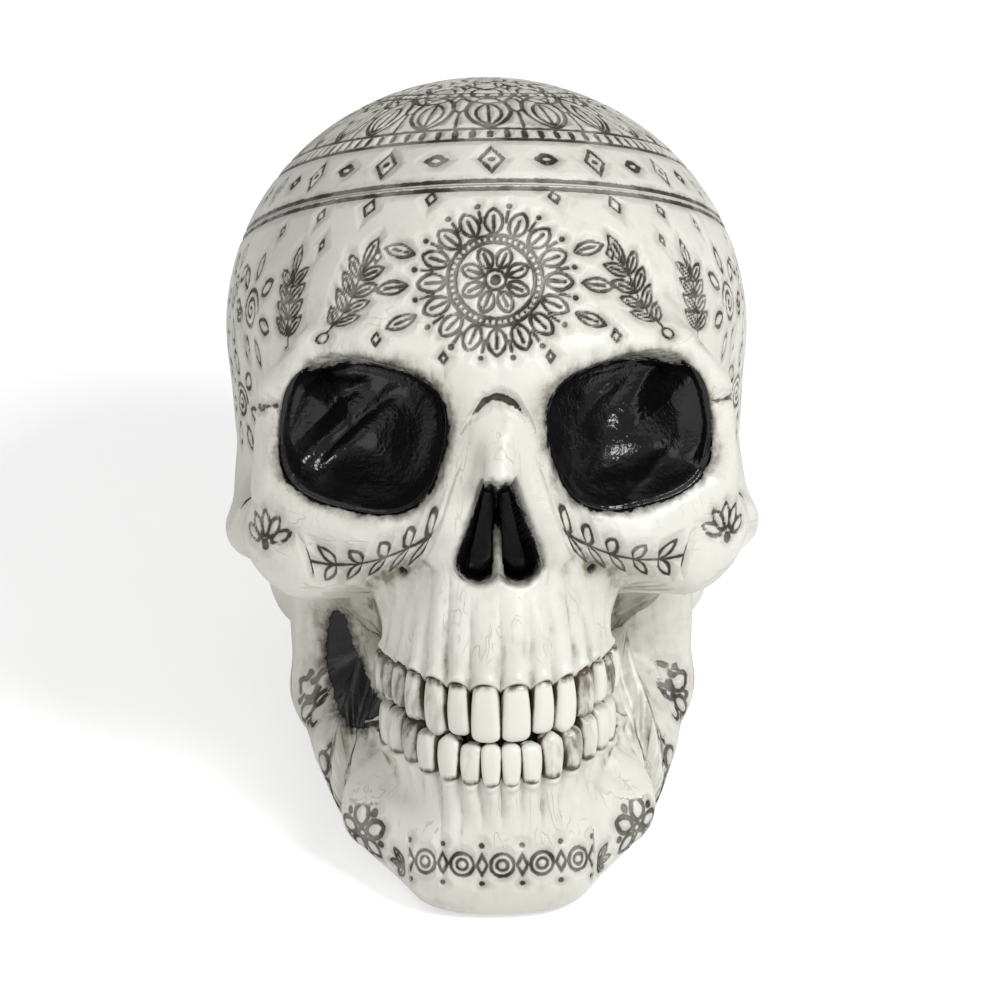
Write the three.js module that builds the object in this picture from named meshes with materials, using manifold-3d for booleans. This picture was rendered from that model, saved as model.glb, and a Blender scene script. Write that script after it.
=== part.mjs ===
// Decorative skull: a life-size hollow moulded head that leans back on its chin and on two pads at the rear.
// The shell is five mouldings: crown, face with the upper teeth, back of the head, lower jaw and base cover.
// Every form is placed in the head's own frame: x to the side, y back from the ear line, z up.
import * as THREE from 'three';
import { mergeVertices } from 'three/addons/utils/BufferGeometryUtils.js';
import Module from 'manifold-3d';

// Driving dimensions in millimetres
const head_width = 141;
const vault_length = 164;
const vault_height = 133;
const face_height = 100; // from the brow to the edge of the upper teeth
const lean_angle = THREE.MathUtils.degToRad(20); // how far the head tips back where it stands
const ear_line_height = 67.6; // from the flat underside up to the ear line
const wall = 4; // thickness of the moulded shell
const seam_gap = 0.3; // clearance between neighbouring mouldings
const jaw_seam_looseness = 1.4; // the jaw's long seam gets this many times the clearance
const lip_length = 5; // how far a locating lip reaches into its neighbour
const lip_thickness = 2;
const lip_clearance = 1.2; // between a lip and the wall that it slides into
const lip_bond = 1; // how deep a lip is rooted in its own wall
const jaw_lip_clearance = 3.5; // behind the upper teeth the face's wall is thicker
const pad_thickness = 2;
const pad_recess = 0.8; // how deep a pad sits in its pocket
const pad_fit = 0.3; // clearance round a pad and above it
const rear_pad_radius = 5;
const rear_pad_spacing = 22;
const rear_pad_place = 26; // from the ear line back to the rear pads, along the floor
const chin_pad_width = 30;
const chin_pad_depth = 11;
const chin_pad_place = 101; // from the ear line forward to the chin pad, along the floor
const cover_radius = 14; // round cover in the flat underside of the jaw
const crown_seam_height = 96; // along the axis, from its lower end to the seam under the crown
const tooth_height = 13.5;
const tooth_depth = 4.4;
const bite_gap = 0.5; // between the upper and the lower teeth
const tooth_gap = 0.5; // between neighbouring teeth
const tooth_round = 1.2;

// The axis that the rings of the shell are drawn around, tilted so that the crown's seam runs level with the brow
const axis_tilt = THREE.MathUtils.degToRad(16);
const axis_low_share = [0, -0.25, -0.28];
const rear_seam_angle = THREE.MathUtils.degToRad(104);
const front_lip_angle = THREE.MathUtils.degToRad(38);
const up_axis = new THREE.Vector3(0, Math.sin(axis_tilt), Math.cos(axis_tilt));
const front_axis = new THREE.Vector3(0, -Math.cos(axis_tilt), Math.sin(axis_tilt));

// Forms of the head, as shares of the face height. An oval has a centre and radii, a rib has its points and the
// radius at each, and blend is the width over which a form runs into those before it.
const head_shares = [
  { oval: [0, -0.33, 0.40], radii: [0.58, 0.595, 0.575], blend: 0.22 }, // forehead
  { oval: [0.42, -0.02, 0.06], radii: [0.24, 0.36, 0.26], blend: 0.12 }, // side above the ear
  { oval: [0, 0.36, -0.10], radii: [0.50, 0.46, 0.52], blend: 0.20 }, // back and its flat
  { oval: [0, -0.05, -0.22], radii: [0.46, 0.56, 0.32], blend: 0.14 }, // underside of the skull
  { rib: [[0.04, -0.86, 0.41], [0.28, -0.83, 0.455], [0.46, -0.76, 0.425], [0.54, -0.72, 0.33],
    [0.56, -0.67, 0.08], [0.35, -0.79, -0.03], [0.13, -0.865, 0.04]],
  radii: [0.085, 0.07, 0.065, 0.065, 0.07, 0.07, 0.06], blend: 0.10 }, // brow and rim of the eye socket
  { rib: [[0.09, -0.89, 0.34], [0.13, -0.86, -0.04]], radii: [0.05, 0.06], blend: 0.06 }, // side of the nose
  { oval: [0, -0.58, 0.06], radii: [0.50, 0.26, 0.40], blend: 0.10 }, // middle of the face
  { oval: [0.47, -0.66, -0.08], radii: [0.14, 0.12, 0.15], blend: 0.08 }, // cheekbone
  { rib: [[0.54, -0.58, -0.06], [0.615, -0.36, -0.09], [0.60, -0.02, -0.03]],
    radii: [0.11, 0.09, 0.07], blend: 0.09 }, // cheek arch
  { wall: 'upper', blend: 0.06 },
  { rib: [[0, -0.88, 0.32], [0, -0.99, 0.14]], radii: [0.06, 0.045], blend: 0.06 }, // bridge of the nose
  { rib: [[0.03, -0.89, 0.26], [0.11, -0.90, 0.02]], radii: [0.05, 0.045], blend: 0.055 }, // nasal bones
  { oval: [0.50, 0.08, -0.26], radii: [0.11, 0.14, 0.20], blend: 0.08 }, // knob behind the ear
];
const jaw_shares = [
  { oval: [0.48, -0.12, -0.34], radii: [0.065, 0.19, 0.34], blend: 0 }, // upright branch
  { rib: [[0.46, -0.16, -0.58], [0.40, -0.40, -0.68], [0.295, -0.62, -0.79], [0.125, -0.745, -0.88]],
    radii: [0.07, 0.085, 0.12, 0.14], blend: 0.08 }, // body of the jaw
  { oval: [0, -0.74, -0.88], radii: [0.22, 0.17, 0.18], blend: 0.08 }, // chin
  { wall: 'lower', blend: 0.06 },
  { oval: [0, -0.34, -0.57], radii: [0.40, 0.40, 0.21], blend: 0.08 }, // web between the two sides
];
const jaw_blend_share = 0.03;
const hollow_shares = [
  { oval: [0.88, -0.46, 0.24], radii: [0.24, 0.26, 0.26], blend: 0.12 }, // temple
  { rib: [[0.39, -0.62, -0.24], [0.38, -0.50, -0.52]], radii: [0.065, 0.055], blend: 0.04 }, // inside the jaw branch
  { oval: [0.27, -0.97, -0.20], radii: [0.09, 0.09, 0.12], blend: 0.09 }, // beside the nose
];
const vault_centre_share = [0, 0.09, 0.37];
const middle_softness_share = 0.005;

// Eye sockets: rounded squares that dip at their outer corners and open a little to the side
const socket_shares = { centre: [0.332, -0.90, 0.24], radii: [0.206, 0.27, 0.196] };
const socket_splay_share = 0.36; // how far the socket falls back for each unit to the side
const socket_dip = THREE.MathUtils.degToRad(14);
const socket_power = 2.6;

// Nose opening: two tapering lobes that run together at the top
const nose_shares = {
  low: [0.052, -0.086], top: [0.016, 0.115], low_radius: 0.056, top_radius: 0.028, front: -1.15, back: -0.74,
};
const nose_flank_turn = THREE.MathUtils.degToRad(10); // how far the flanks lean in towards the top
const nose_notch_turn = THREE.MathUtils.degToRad(125); // where each lobe meets the notch below the middle

// Oval of the tooth rows and the bone walls that carry them, in half widths and half lengths
const row_back_share = -0.58;
const row_end_share = -0.30;
const row_wall_soft_share = 0.06;
const upper_wall_shares = {
  level: -0.40, half_width: 0.296, half_length: 0.376, width_bulge: 0.6, length_bulge: 0.6, low: -0.545, high: -0.06,
  low_soft: 0.02, high_soft: 0.08,
};
const lower_wall_shares = {
  level: -0.60, half_width: 0.286, half_length: 0.364, width_slope: 0.06, length_slope: 0.14, low: -0.92, high: -0.555,
  low_soft: 0.08, high_soft: 0.02,
};
const floor_edge_share = 0.01;

// Line between the tooth rows, then up in front of the jaw's branch and back under the cheek arch
const tooth_line_share = -0.553;
const tooth_row_half_width_share = 0.31;
const tooth_row_half_length_share = 0.392;
const jaw_line_shares = [[0.31, -0.50, -0.55], [0.335, -0.44, -0.44], [0.38, -0.39, -0.27], [0.46, -0.36, -0.19],
  [0.52, -0.25, -0.16], [0.54, -0.10, -0.14], [0.54, 0.04, -0.12]];
const upper_tooth_width_shares = [0.084, 0.066, 0.076, 0.066, 0.064, 0.088, 0.085];
const lower_tooth_width_shares = [0.056, 0.060, 0.068, 0.068, 0.068, 0.100, 0.095];
const neck_width_share = 0.78;
const upright_lip_low_share = 0.40; // where the upright lips start, above the cheek arch
const reach_share = 1.25; // where the search for the skin starts, well outside it
const search_steps = 80;
const search_ease = 0.8; // share of the measured distance that each step of the search takes
const tolerance_share = 0.0002;
const axis_core_share = 0.02;
const ring_share = 0.7; // length of arc that one radian takes on the rings' scale, as a share of the face height
const seam_radius_share = 0.5; // distance from the axis at which a seam has its full clearance

const ear_line_share = 0.676; // ear line height at which the forms below the ear line have their plain height
const F = face_height;
const drop_stretch = ear_line_height / (ear_line_share * F);

// A place given as shares: heights below the ear line follow the ear line's height
function pointOf([x, y, z]) {
  return [x * F, y * F, z * F * (z < 0 ? drop_stretch : 1)];
}

const axis_low = new THREE.Vector3(...pointOf(axis_low_share));
const ring_scale = ring_share * F;
const quarter_turn = Math.PI / 2;
const seam_half_angle = seam_gap / 2 / (seam_radius_share * F);
const lip_reach_angle = lip_length / (seam_radius_share * F);

const wasm = await Module();
wasm.setup();

function smoothMin(a, b, k) {
  if (k <= 0) return Math.min(a, b);
  const h = THREE.MathUtils.clamp(0.5 + (0.5 * (b - a)) / k, 0, 1);
  return b + (a - b) * h - k * h * (1 - h);
}

function smoothMax(a, b, k) {
  return -smoothMin(-a, -b, k);
}

function ovalDistance(x, y, z, centre, radii) {
  const qx = x - centre[0];
  const qy = y - centre[1];
  const qz = z - centre[2];
  const k0 = Math.hypot(qx / radii[0], qy / radii[1], qz / radii[2]);
  const k1 = Math.hypot(qx / radii[0] ** 2, qy / radii[1] ** 2, qz / radii[2] ** 2);
  return (k0 * (k0 - 1)) / Math.max(k1, Number.EPSILON);
}

function rodDistance(x, y, z, from, to, from_radius, to_radius) {
  const along = [to[0] - from[0], to[1] - from[1], to[2] - from[2]];
  const offset = [x - from[0], y - from[1], z - from[2]];
  const dot = offset[0] * along[0] + offset[1] * along[1] + offset[2] * along[2];
  const t = THREE.MathUtils.clamp(dot / (along[0] ** 2 + along[1] ** 2 + along[2] ** 2), 0, 1);
  const away = Math.hypot(offset[0] - t * along[0], offset[1] - t * along[1], offset[2] - t * along[2]);
  return away - (from_radius + (to_radius - from_radius) * t);
}

function ribDistance(x, y, z, points, radii) {
  let least = Infinity;
  for (let i = 1; i < points.length; i += 1) {
    least = Math.min(least, rodDistance(x, y, z, points[i - 1], points[i], radii[i - 1], radii[i]));
  }
  return least;
}

// Upright wall over the oval of a tooth row, open towards the back
function rowWallDistance(x, y, half_width, half_length) {
  const forward = Math.min(y - row_back_share * F, 0);
  const k0 = Math.hypot(x / half_width, forward / half_length);
  const k1 = Math.hypot(x / half_width ** 2, forward / half_length ** 2);
  const oval = (k0 * (k0 - 1)) / Math.max(k1, Number.EPSILON);
  return smoothMax(oval, y - row_end_share * F, row_wall_soft_share * F);
}

function upperWall(x, y, z) {
  const s = upper_wall_shares;
  const off = z / F - s.level;
  const half_width = (s.half_width - s.width_bulge * off ** 2) * F;
  const half_length = (s.half_length - s.length_bulge * off ** 2) * F;
  const sides = rowWallDistance(x, y, half_width, half_length);
  const cut = smoothMax(sides, s.low * F - z, s.low_soft * F);
  return smoothMax(cut, z - s.high * F, s.high_soft * F);
}

function lowerWall(x, y, z) {
  const s = lower_wall_shares;
  const off = z / F - s.level;
  const half_width = (s.half_width + s.width_slope * off) * F;
  const half_length = (s.half_length + s.length_slope * off) * F;
  const sides = rowWallDistance(x, y, half_width, half_length);
  const cut = smoothMax(sides, z - s.high * F, s.high_soft * F);
  return smoothMax(cut, s.low * F - z, s.low_soft * F);
}

const scaled = (list) => list.map((form) => ({
  ...form,
  oval: form.oval?.map((share) => share * F),
  rib: form.rib?.map((point) => point.map((share) => share * F)),
  radii: form.radii?.map((share) => share * F),
  blend: form.blend * F,
}));
const head_forms = scaled(head_shares);
const jaw_forms = scaled(jaw_shares);
const hollow_forms = scaled(hollow_shares);
const vault_centre = vault_centre_share.map((share) => share * F);
const vault_radii = [head_width / 2, vault_length / 2, vault_height / 2];

function formDistance(form, x, y, z) {
  if (form.oval) return ovalDistance(x, y, z, form.oval, form.radii);
  if (form.rib) return ribDistance(x, y, z, form.rib, form.radii);
  return form.wall === 'upper' ? upperWall(x, y, z) : lowerWall(x, y, z);
}

function heightAboveFloor(y, z) {
  return z * Math.cos(lean_angle) - y * Math.sin(lean_angle) + ear_line_height;
}

// Signed distance, near enough, from a point to the outer skin, before the sockets and the nose are cut
function skinDistance(px, y, pz) {
  const x = Math.hypot(px, middle_softness_share * F);
  const z = pz < 0 ? pz / drop_stretch : pz;
  let skin = ovalDistance(x, y, z, vault_centre, vault_radii);
  for (const form of head_forms) skin = smoothMin(skin, formDistance(form, x, y, z), form.blend);
  let jaw = Infinity;
  for (const form of jaw_forms) {
    const distance = formDistance(form, x, y, z);
    jaw = jaw === Infinity ? distance : smoothMin(jaw, distance, form.blend);
  }
  skin = smoothMin(skin, jaw, jaw_blend_share * F);
  for (const form of hollow_forms) skin = smoothMax(skin, -formDistance(form, x, y, z), form.blend);
  return smoothMax(skin, -heightAboveFloor(y, pz), floor_edge_share * F);
}

// A ring number is a length along the shell: below zero it swings down round the axis's lower end,
// then it climbs the axis to the crown's seam, and above that it swings up round the axis's upper end.
const ring_bottom = -ring_scale * quarter_turn;
const ring_top = crown_seam_height + ring_scale * quarter_turn;

function rayAt(angle, ring) {
  const low = Math.min(ring, 0) / ring_scale;
  const high = Math.max(ring - crown_seam_height, 0) / ring_scale;
  const elevation = low + high;
  const climb = THREE.MathUtils.clamp(ring, 0, crown_seam_height);
  const origin = axis_low.clone().addScaledVector(up_axis, climb);
  const direction = new THREE.Vector3(Math.sin(angle), 0, 0)
    .addScaledVector(front_axis, Math.cos(angle))
    .multiplyScalar(Math.cos(elevation))
    .addScaledVector(up_axis, Math.sin(elevation));
  return { origin, direction };
}

// Distance from the axis to the skin, or to the surface that lies a given depth under it
function reachTo({ origin, direction }, depth) {
  let reach = reach_share * F;
  for (let step = 0; step < search_steps; step += 1) {
    const x = origin.x + reach * direction.x;
    const y = origin.y + reach * direction.y;
    const z = origin.z + reach * direction.z;
    const distance = skinDistance(x, y, z) + depth;
    if (Math.abs(distance) < tolerance_share * F) break;
    reach = Math.max(reach - search_ease * distance, axis_core_share * F);
  }
  return reach;
}

// Where a point lies on the shell, as an angle round the axis and a ring number
function placeOf([x, y, z]) {
  const offset = new THREE.Vector3(x, y, z).sub(axis_low);
  const up = offset.dot(up_axis);
  const front = offset.dot(front_axis);
  const ring = up < 0 ? ring_scale * Math.atan2(up, Math.hypot(x, front)) : up;
  return { angle: Math.atan2(x, front), ring };
}

function jawLine() {
  const places = [];
  const steps = 8;
  for (let i = 0; i <= steps; i += 1) {
    const turn = (i / steps) * quarter_turn;
    const x = Math.sin(turn) * tooth_row_half_width_share;
    const y = row_back_share - Math.cos(turn) * tooth_row_half_length_share;
    places.push(placeOf(pointOf([x, y, tooth_line_share])));
  }
  for (const point of jaw_line_shares) places.push(placeOf(pointOf(point)));
  return places;
}

const jaw_line = jawLine();

function jawRing(angle) {
  const side = Math.abs(angle);
  const next = jaw_line.findIndex((place) => place.angle > side);
  if (next === 0) return jaw_line[0].ring;
  if (next < 0) return jaw_line[jaw_line.length - 1].ring;
  const a = jaw_line[next - 1];
  const b = jaw_line[next];
  return a.ring + ((b.ring - a.ring) * (side - a.angle)) / (b.angle - a.angle);
}

// Closed body under the skin, over a patch of angles and rings: from the inner surface out to the outer one.
// Without an inner surface the patch runs all round, from pole to pole, and closes on itself.
function patchBody(angles, rings, outer, inner, all_round) {
  const columns = all_round ? angles.length : angles.length - 1;
  const top = rings.length - 1;
  const positions = [];
  const numbers = new Map();
  const faces = [];

  const isPole = (ring) => Math.min(Math.abs(ring - ring_bottom), Math.abs(ring - ring_top)) < tolerance_share * F;

  // A pole row has one vertex that all its columns share
  const vertex = (surface, row, column) => {
    const angle = angles[column % angles.length];
    const ring = rings[row](angle);
    const key = isPole(ring) ? `${row}` : `${row}:${column % angles.length}`;
    const name = `${surface === outer ? 'outer' : 'inner'}:${key}`;
    if (!numbers.has(name)) {
      const ray = rayAt(angle, ring);
      numbers.set(name, positions.length / 3);
      positions.push(...ray.origin.addScaledVector(ray.direction, surface(ray, row, column)).toArray());
    }
    return numbers.get(name);
  };
  const triangle = (a, b, c) => {
    if (a !== b && b !== c && c !== a) faces.push(a, b, c);
  };
  const quad = (a, b, c, d) => {
    triangle(a, b, c);
    triangle(a, c, d);
  };

  for (let row = 0; row < top; row += 1) {
    for (let column = 0; column < columns; column += 1) {
      const next = column + 1;
      quad(vertex(outer, row, column), vertex(outer, row, next), vertex(outer, row + 1, next),
        vertex(outer, row + 1, column));
      if (inner) {
        quad(vertex(inner, row + 1, column), vertex(inner, row + 1, next), vertex(inner, row, next),
          vertex(inner, row, column));
      }
    }
  }
  if (!inner) return { positions, faces };

  for (let column = 0; column < columns; column += 1) {
    const next = column + 1;
    quad(vertex(outer, 0, next), vertex(outer, 0, column), vertex(inner, 0, column), vertex(inner, 0, next));
    quad(vertex(outer, top, next), vertex(inner, top, next), vertex(inner, top, column), vertex(outer, top, column));
  }
  if (all_round) return { positions, faces };

  for (let row = 0; row < top; row += 1) {
    const next = row + 1;
    quad(vertex(outer, row, 0), vertex(outer, next, 0), vertex(inner, next, 0), vertex(inner, row, 0));
    quad(vertex(outer, next, columns), vertex(outer, row, columns), vertex(inner, row, columns),
      vertex(inner, next, columns));
  }
  return { positions, faces };
}

function solidFrom({ positions, faces }) {
  return new wasm.Manifold(new wasm.Mesh({
    numProp: 3,
    vertProperties: new Float32Array(positions),
    triVerts: new Uint32Array(faces),
  }));
}

function solidOf(geometry) {
  const bare = geometry.clone();
  bare.deleteAttribute('normal');
  bare.deleteAttribute('uv');
  const merged = mergeVertices(bare);
  return solidFrom({ positions: merged.attributes.position.array, faces: merged.index.array });
}

// Evenly spread values, drawn together in the middle by the centre weight, or apart by one below zero
function spread(low, high, count, centre_weight = 0) {
  return Array.from({ length: count + 1 }, (_, i) => {
    const t = (2 * i) / count - 1;
    const eased = (1 - centre_weight) * t + centre_weight * t ** 3;
    return low + ((high - low) * (eased + 1)) / 2;
  });
}

const at = (ring) => () => ring;
const between = (low, high, count) => spread(0, 1, count).map(
  (share) => (angle) => low(angle) + (high(angle) - low(angle)) * share,
);
const toSkin = (ray) => reachTo(ray, 0);
const toCore = () => axis_core_share * F;

// Columns and rings of each moulding
const front_columns = 40;
const front_centre_weight = 0.25;
const face_rows = 21;
const jaw_rows = 11;
const crown_columns = 30;
const rear_columns = 18;
const rear_edge_weight = -0.35; // draws the columns towards the upright seams
const rear_rows = 13;
const crown_rows = 6;
const cover_rows = 1;
const round_columns = 20;
const upright_lip_rows = 3;
const socket_columns = 16;
const socket_rows = 8;
const nose_arc_steps = 4;
const pad_arc_steps = 8;
const row_steps = 240; // short steps that a quarter of the tooth row's oval is measured in
const slope_step = THREE.MathUtils.degToRad(1);

const half_seam = seam_half_angle * ring_scale;
const front_angles = spread(-rear_seam_angle + seam_half_angle, rear_seam_angle - seam_half_angle, front_columns,
  front_centre_weight);
const rear_angles = spread(rear_seam_angle + seam_half_angle, 2 * Math.PI - rear_seam_angle - seam_half_angle,
  rear_columns, rear_edge_weight);
const fullTurn = (count) => spread(-Math.PI, Math.PI, count).slice(0, count);
const round_angles = fullTurn(round_columns);
const cover_drop = heightAboveFloor(axis_low.y, axis_low.z) / Math.cos(axis_tilt + lean_angle);
const cover_ring = ring_bottom + ring_scale * Math.atan2(cover_radius, cover_drop);

// Edge of a moulding along the jaw line: the clearance is kept square to the line where it climbs
const jawSeam = (shift) => (angle) => {
  const climb = (jawRing(angle + slope_step) - jawRing(angle - slope_step)) / (2 * slope_step * seam_radius_share * F);
  return jawRing(angle) + shift * jaw_seam_looseness * Math.hypot(1, climb);
};

const toDepth = (depth) => (ray) => reachTo(ray, depth);

// One moulding: its skin, and its inner surface one wall under that
function moulding(angles, rings, all_round) {
  return solidFrom(patchBody(angles, rings, toSkin, toDepth(wall), all_round));
}

// A lip is a root sunk in its own wall and a tongue that reaches past the wall's edge, inside the neighbour's wall
const root_depth = wall - lip_bond;
const tongue_depth = wall + lip_clearance;
const toRoot = toDepth(root_depth);

// Lip along a ring seam: reach is below zero where it points down
function ringLip(angles, edge, reach, all_round, clearance) {
  const start = -Math.sign(reach) * lip_thickness;
  const depth = wall + clearance;
  const ringsTo = (from, to) => [Math.min(from, to), Math.max(from, to)].map((step) => (angle) => edge(angle) + step);
  const root_inside = toDepth(depth + lip_thickness / 2);
  const root = solidFrom(patchBody(angles, ringsTo(start, 0), toRoot, root_inside, all_round));
  const tongue_inside = toDepth(depth + lip_thickness);
  const tongue = patchBody(angles, ringsTo(start / 2, reach), toDepth(depth), tongue_inside, all_round);
  return root.add(solidFrom(tongue));
}

// Lip along an upright seam, from the rear moulding forward into the face
function uprightLip(side, low, high) {
  const edge = rear_seam_angle + seam_half_angle;
  const steps = [-lip_reach_angle, 0, seam_half_angle, lip_reach_angle / 2];
  const depths = [tongue_depth, tongue_depth, root_depth, root_depth];
  const angles = steps.map((step) => side * (edge + step));
  if (side < 0) {
    angles.reverse();
    depths.reverse();
  }
  const rings = between(at(low), at(high), upright_lip_rows);
  const toSteps = (ray, row, column) => reachTo(ray, depths[column]);
  return solidFrom(patchBody(angles, rings, toSteps, toDepth(tongue_depth + lip_thickness), false));
}

// Rounded bowl of one eye socket, grown by the wall for the back of its cup
function socketBody(side, grow) {
  const centre = socket_shares.centre.map((share) => share * F);
  const radii = socket_shares.radii.map((share) => share * F + grow);
  const geometry = new THREE.SphereGeometry(1, socket_columns, socket_rows);
  const position = geometry.attributes.position;
  const point = new THREE.Vector3();
  for (let i = 0; i < position.count; i += 1) {
    point.fromBufferAttribute(position, i);
    const sum = point.toArray().reduce((total, value) => total + Math.abs(value) ** socket_power, 0);
    point.multiplyScalar(sum ** (-1 / socket_power)).multiply(new THREE.Vector3(...radii));
    point.applyAxisAngle(new THREE.Vector3(0, 1, 0), socket_dip);
    point.y += socket_splay_share * point.x;
    point.x += centre[0];
    position.setXYZ(i, side * point.x, point.y + centre[1], point.z + centre[2]);
  }
  if (side < 0) geometry.index.array.reverse();
  return solidOf(geometry);
}

// Nose opening, cut straight back into the face
function noseBody(grow) {
  const s = nose_shares;
  const low_radius = s.low_radius * F + grow;
  const top_radius = s.top_radius * F + grow;
  const outline = new THREE.Shape();
  outline.absarc(s.low[0] * F, s.low[1] * F, low_radius, -nose_notch_turn, nose_flank_turn, false);
  outline.absarc(s.top[0] * F, s.top[1] * F, top_radius, nose_flank_turn, quarter_turn, false);
  outline.absarc(-s.top[0] * F, s.top[1] * F, top_radius, quarter_turn, Math.PI - nose_flank_turn, false);
  outline.absarc(-s.low[0] * F, s.low[1] * F, low_radius, Math.PI - nose_flank_turn, Math.PI + nose_notch_turn, false);
  const depth = (s.back - s.front) * F + grow;
  const geometry = new THREE.ExtrudeGeometry(outline, { depth, bevelEnabled: false, curveSegments: nose_arc_steps });
  geometry.rotateX(quarter_turn);
  return solidOf(geometry.translate(0, s.back * F + grow, 0));
}

// Crown above the level seam, with a lip all round its rim
function crown() {
  const seam = at(crown_seam_height + half_seam);
  const shell = moulding(fullTurn(crown_columns), between(seam, at(ring_top), crown_rows), true);
  return shell.add(ringLip(round_angles, seam, -lip_length, true, lip_clearance));
}

// Places along a tooth row: the oval in front, then straight back
function rowPlace(distance) {
  const half_width = tooth_row_half_width_share * F;
  const half_length = tooth_row_half_length_share * F;
  const centre_y = row_back_share * F;
  let travelled = 0;
  const turn_step = quarter_turn / row_steps;
  for (let turn = turn_step / 2; turn < quarter_turn; turn += turn_step) {
    const step = Math.hypot(half_width * Math.cos(turn), half_length * Math.sin(turn)) * turn_step;
    if (travelled + step >= distance) {
      const outward = new THREE.Vector3(Math.sin(turn) / half_width, -Math.cos(turn) / half_length, 0).normalize();
      return { x: half_width * Math.sin(turn), y: centre_y - half_length * Math.cos(turn), outward };
    }
    travelled += step;
  }
  return { x: half_width, y: centre_y + distance - travelled, outward: new THREE.Vector3(1, 0, 0) };
}

// One tooth: narrow at the neck, wide and round at its biting edge, which lies at zero height
function toothGeometry(width, height) {
  const inset = tooth_round;
  const edge = width / 2 - tooth_gap / 2 - inset;
  const neck = edge * neck_width_share;
  const low = inset;
  const high = height - inset;
  const outline = new THREE.Shape();
  outline.moveTo(-edge * neck_width_share, low);
  outline.lineTo(edge * neck_width_share, low);
  outline.lineTo(edge, low + inset);
  outline.lineTo(neck, high - inset);
  outline.lineTo(neck * neck_width_share, high);
  outline.lineTo(-neck * neck_width_share, high);
  outline.lineTo(-neck, high - inset);
  outline.lineTo(-edge, low + inset);
  outline.closePath();
  const geometry = new THREE.ExtrudeGeometry(outline, {
    depth: tooth_depth - inset, bevelEnabled: true, bevelThickness: inset, bevelSize: inset, bevelSegments: 1,
    curveSegments: 1,
  });
  return geometry.translate(0, 0, -tooth_depth);
}

// Row of teeth: each one's biting edge lies along the parting surface, which slopes down towards the front
function toothRow(width_shares, direction) {
  let row = null;
  let start = 0;
  for (const share of width_shares) {
    const width = share * F;
    const place = rowPlace(start + width / 2);
    start += width;
    const point = new THREE.Vector3(place.x, place.y, tooth_line_share * F * drop_stretch);
    const { angle, ring } = placeOf(point.toArray());
    const ray = rayAt(angle, ring).direction;
    const up = new THREE.Vector3(0, 0, 1);
    const parting = new THREE.Vector3().crossVectors(up, place.outward).cross(ray);
    const rake = -place.outward.dot(parting) / up.dot(parting);
    for (const side of [-1, 1]) {
      const depth_axis = new THREE.Vector3(side * place.outward.x, place.outward.y, rake);
      const height_axis = up.clone().multiplyScalar(direction);
      const across = new THREE.Vector3().crossVectors(height_axis, depth_axis).normalize();
      const matrix = new THREE.Matrix4().makeBasis(across, height_axis, depth_axis);
      matrix.setPosition(side * point.x, point.y, point.z + (direction * bite_gap) / 2);
      const tooth = solidOf(toothGeometry(width, tooth_height).applyMatrix4(matrix));
      row = row ? row.add(tooth) : tooth;
    }
  }
  return row;
}

// Face with the upper teeth, from the crown's seam down to the line between the tooth rows
function face() {
  const rings = between(jawSeam(half_seam), at(crown_seam_height - half_seam), face_rows);
  const cups = socketBody(-1, wall).add(socketBody(1, wall)).add(noseBody(wall));
  const openings = socketBody(-1, 0).add(socketBody(1, 0)).add(noseBody(0));
  const block = solidFrom(patchBody(front_angles, rings, toSkin, toCore, false));
  const shell = moulding(front_angles, rings, false).add(cups.intersect(block));
  return shell.add(toothRow(upper_tooth_width_shares, 1)).subtract(openings);
}

// Lower jaw with its teeth, its upright branches and the front of the flat underside
function jaw() {
  const edge = jawSeam(-half_seam);
  const shell = moulding(front_angles, between(at(cover_ring + half_seam), edge, jaw_rows), false);
  const lip_angles = round_angles.filter((angle) => Math.abs(angle) < front_lip_angle);
  const lip = ringLip(lip_angles, edge, lip_length, false, jaw_lip_clearance);
  return shell.add(toothRow(lower_tooth_width_shares, -1)).add(lip);
}

// Back and sides of the head, with a lip along each upright seam
function rear() {
  const low = at(cover_ring + half_seam);
  const high = at(crown_seam_height - half_seam);
  const shell = moulding(rear_angles, between(low, high, rear_rows), false);
  const lip_low = upright_lip_low_share * F;
  const lip_high = crown_seam_height - 2 * lip_length;
  return shell.add(uprightLip(-1, lip_low, lip_high)).add(uprightLip(1, lip_low, lip_high));
}

// Round cover that closes the moulding's opening in the flat underside, with a skirt that goes up the opening
function cover() {
  const rim = cover_ring - half_seam;
  const shell = moulding(round_angles, between(at(ring_bottom), at(rim), cover_rows), true);
  const skirt_rings = [at(rim - lip_thickness), at(rim)];
  return shell.add(solidFrom(patchBody(round_angles, skirt_rings, toRoot, toDepth(wall + lip_length), true)));
}

// Pads, lying in the standing frame with their undersides on the surface below
function padOutline(half_width, half_depth) {
  const outline = new THREE.Shape();
  const straight = half_width - half_depth;
  outline.absarc(straight, 0, half_depth, -quarter_turn, quarter_turn, false);
  outline.absarc(-straight, 0, half_depth, quarter_turn, 3 * quarter_turn, false);
  return outline;
}

function padGeometry(pad, grow, low, high) {
  const outline = padOutline(pad.half_width + grow, pad.half_depth + grow);
  const geometry = new THREE.ExtrudeGeometry(outline, { depth: high - low, bevelEnabled: false, curveSegments: pad_arc_steps });
  return geometry.translate(pad.x, pad.y, low);
}

const stand_height = pad_thickness - pad_recess;
const pads = [
  { name: 'chin_pad', x: 0, y: -chin_pad_place, half_width: chin_pad_width / 2, half_depth: chin_pad_depth / 2 },
  { name: 'left_rear_pad', x: -rear_pad_spacing / 2, y: rear_pad_place, half_width: rear_pad_radius,
    half_depth: rear_pad_radius },
  { name: 'right_rear_pad', x: rear_pad_spacing / 2, y: rear_pad_place, half_width: rear_pad_radius,
    half_depth: rear_pad_radius },
];

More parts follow.
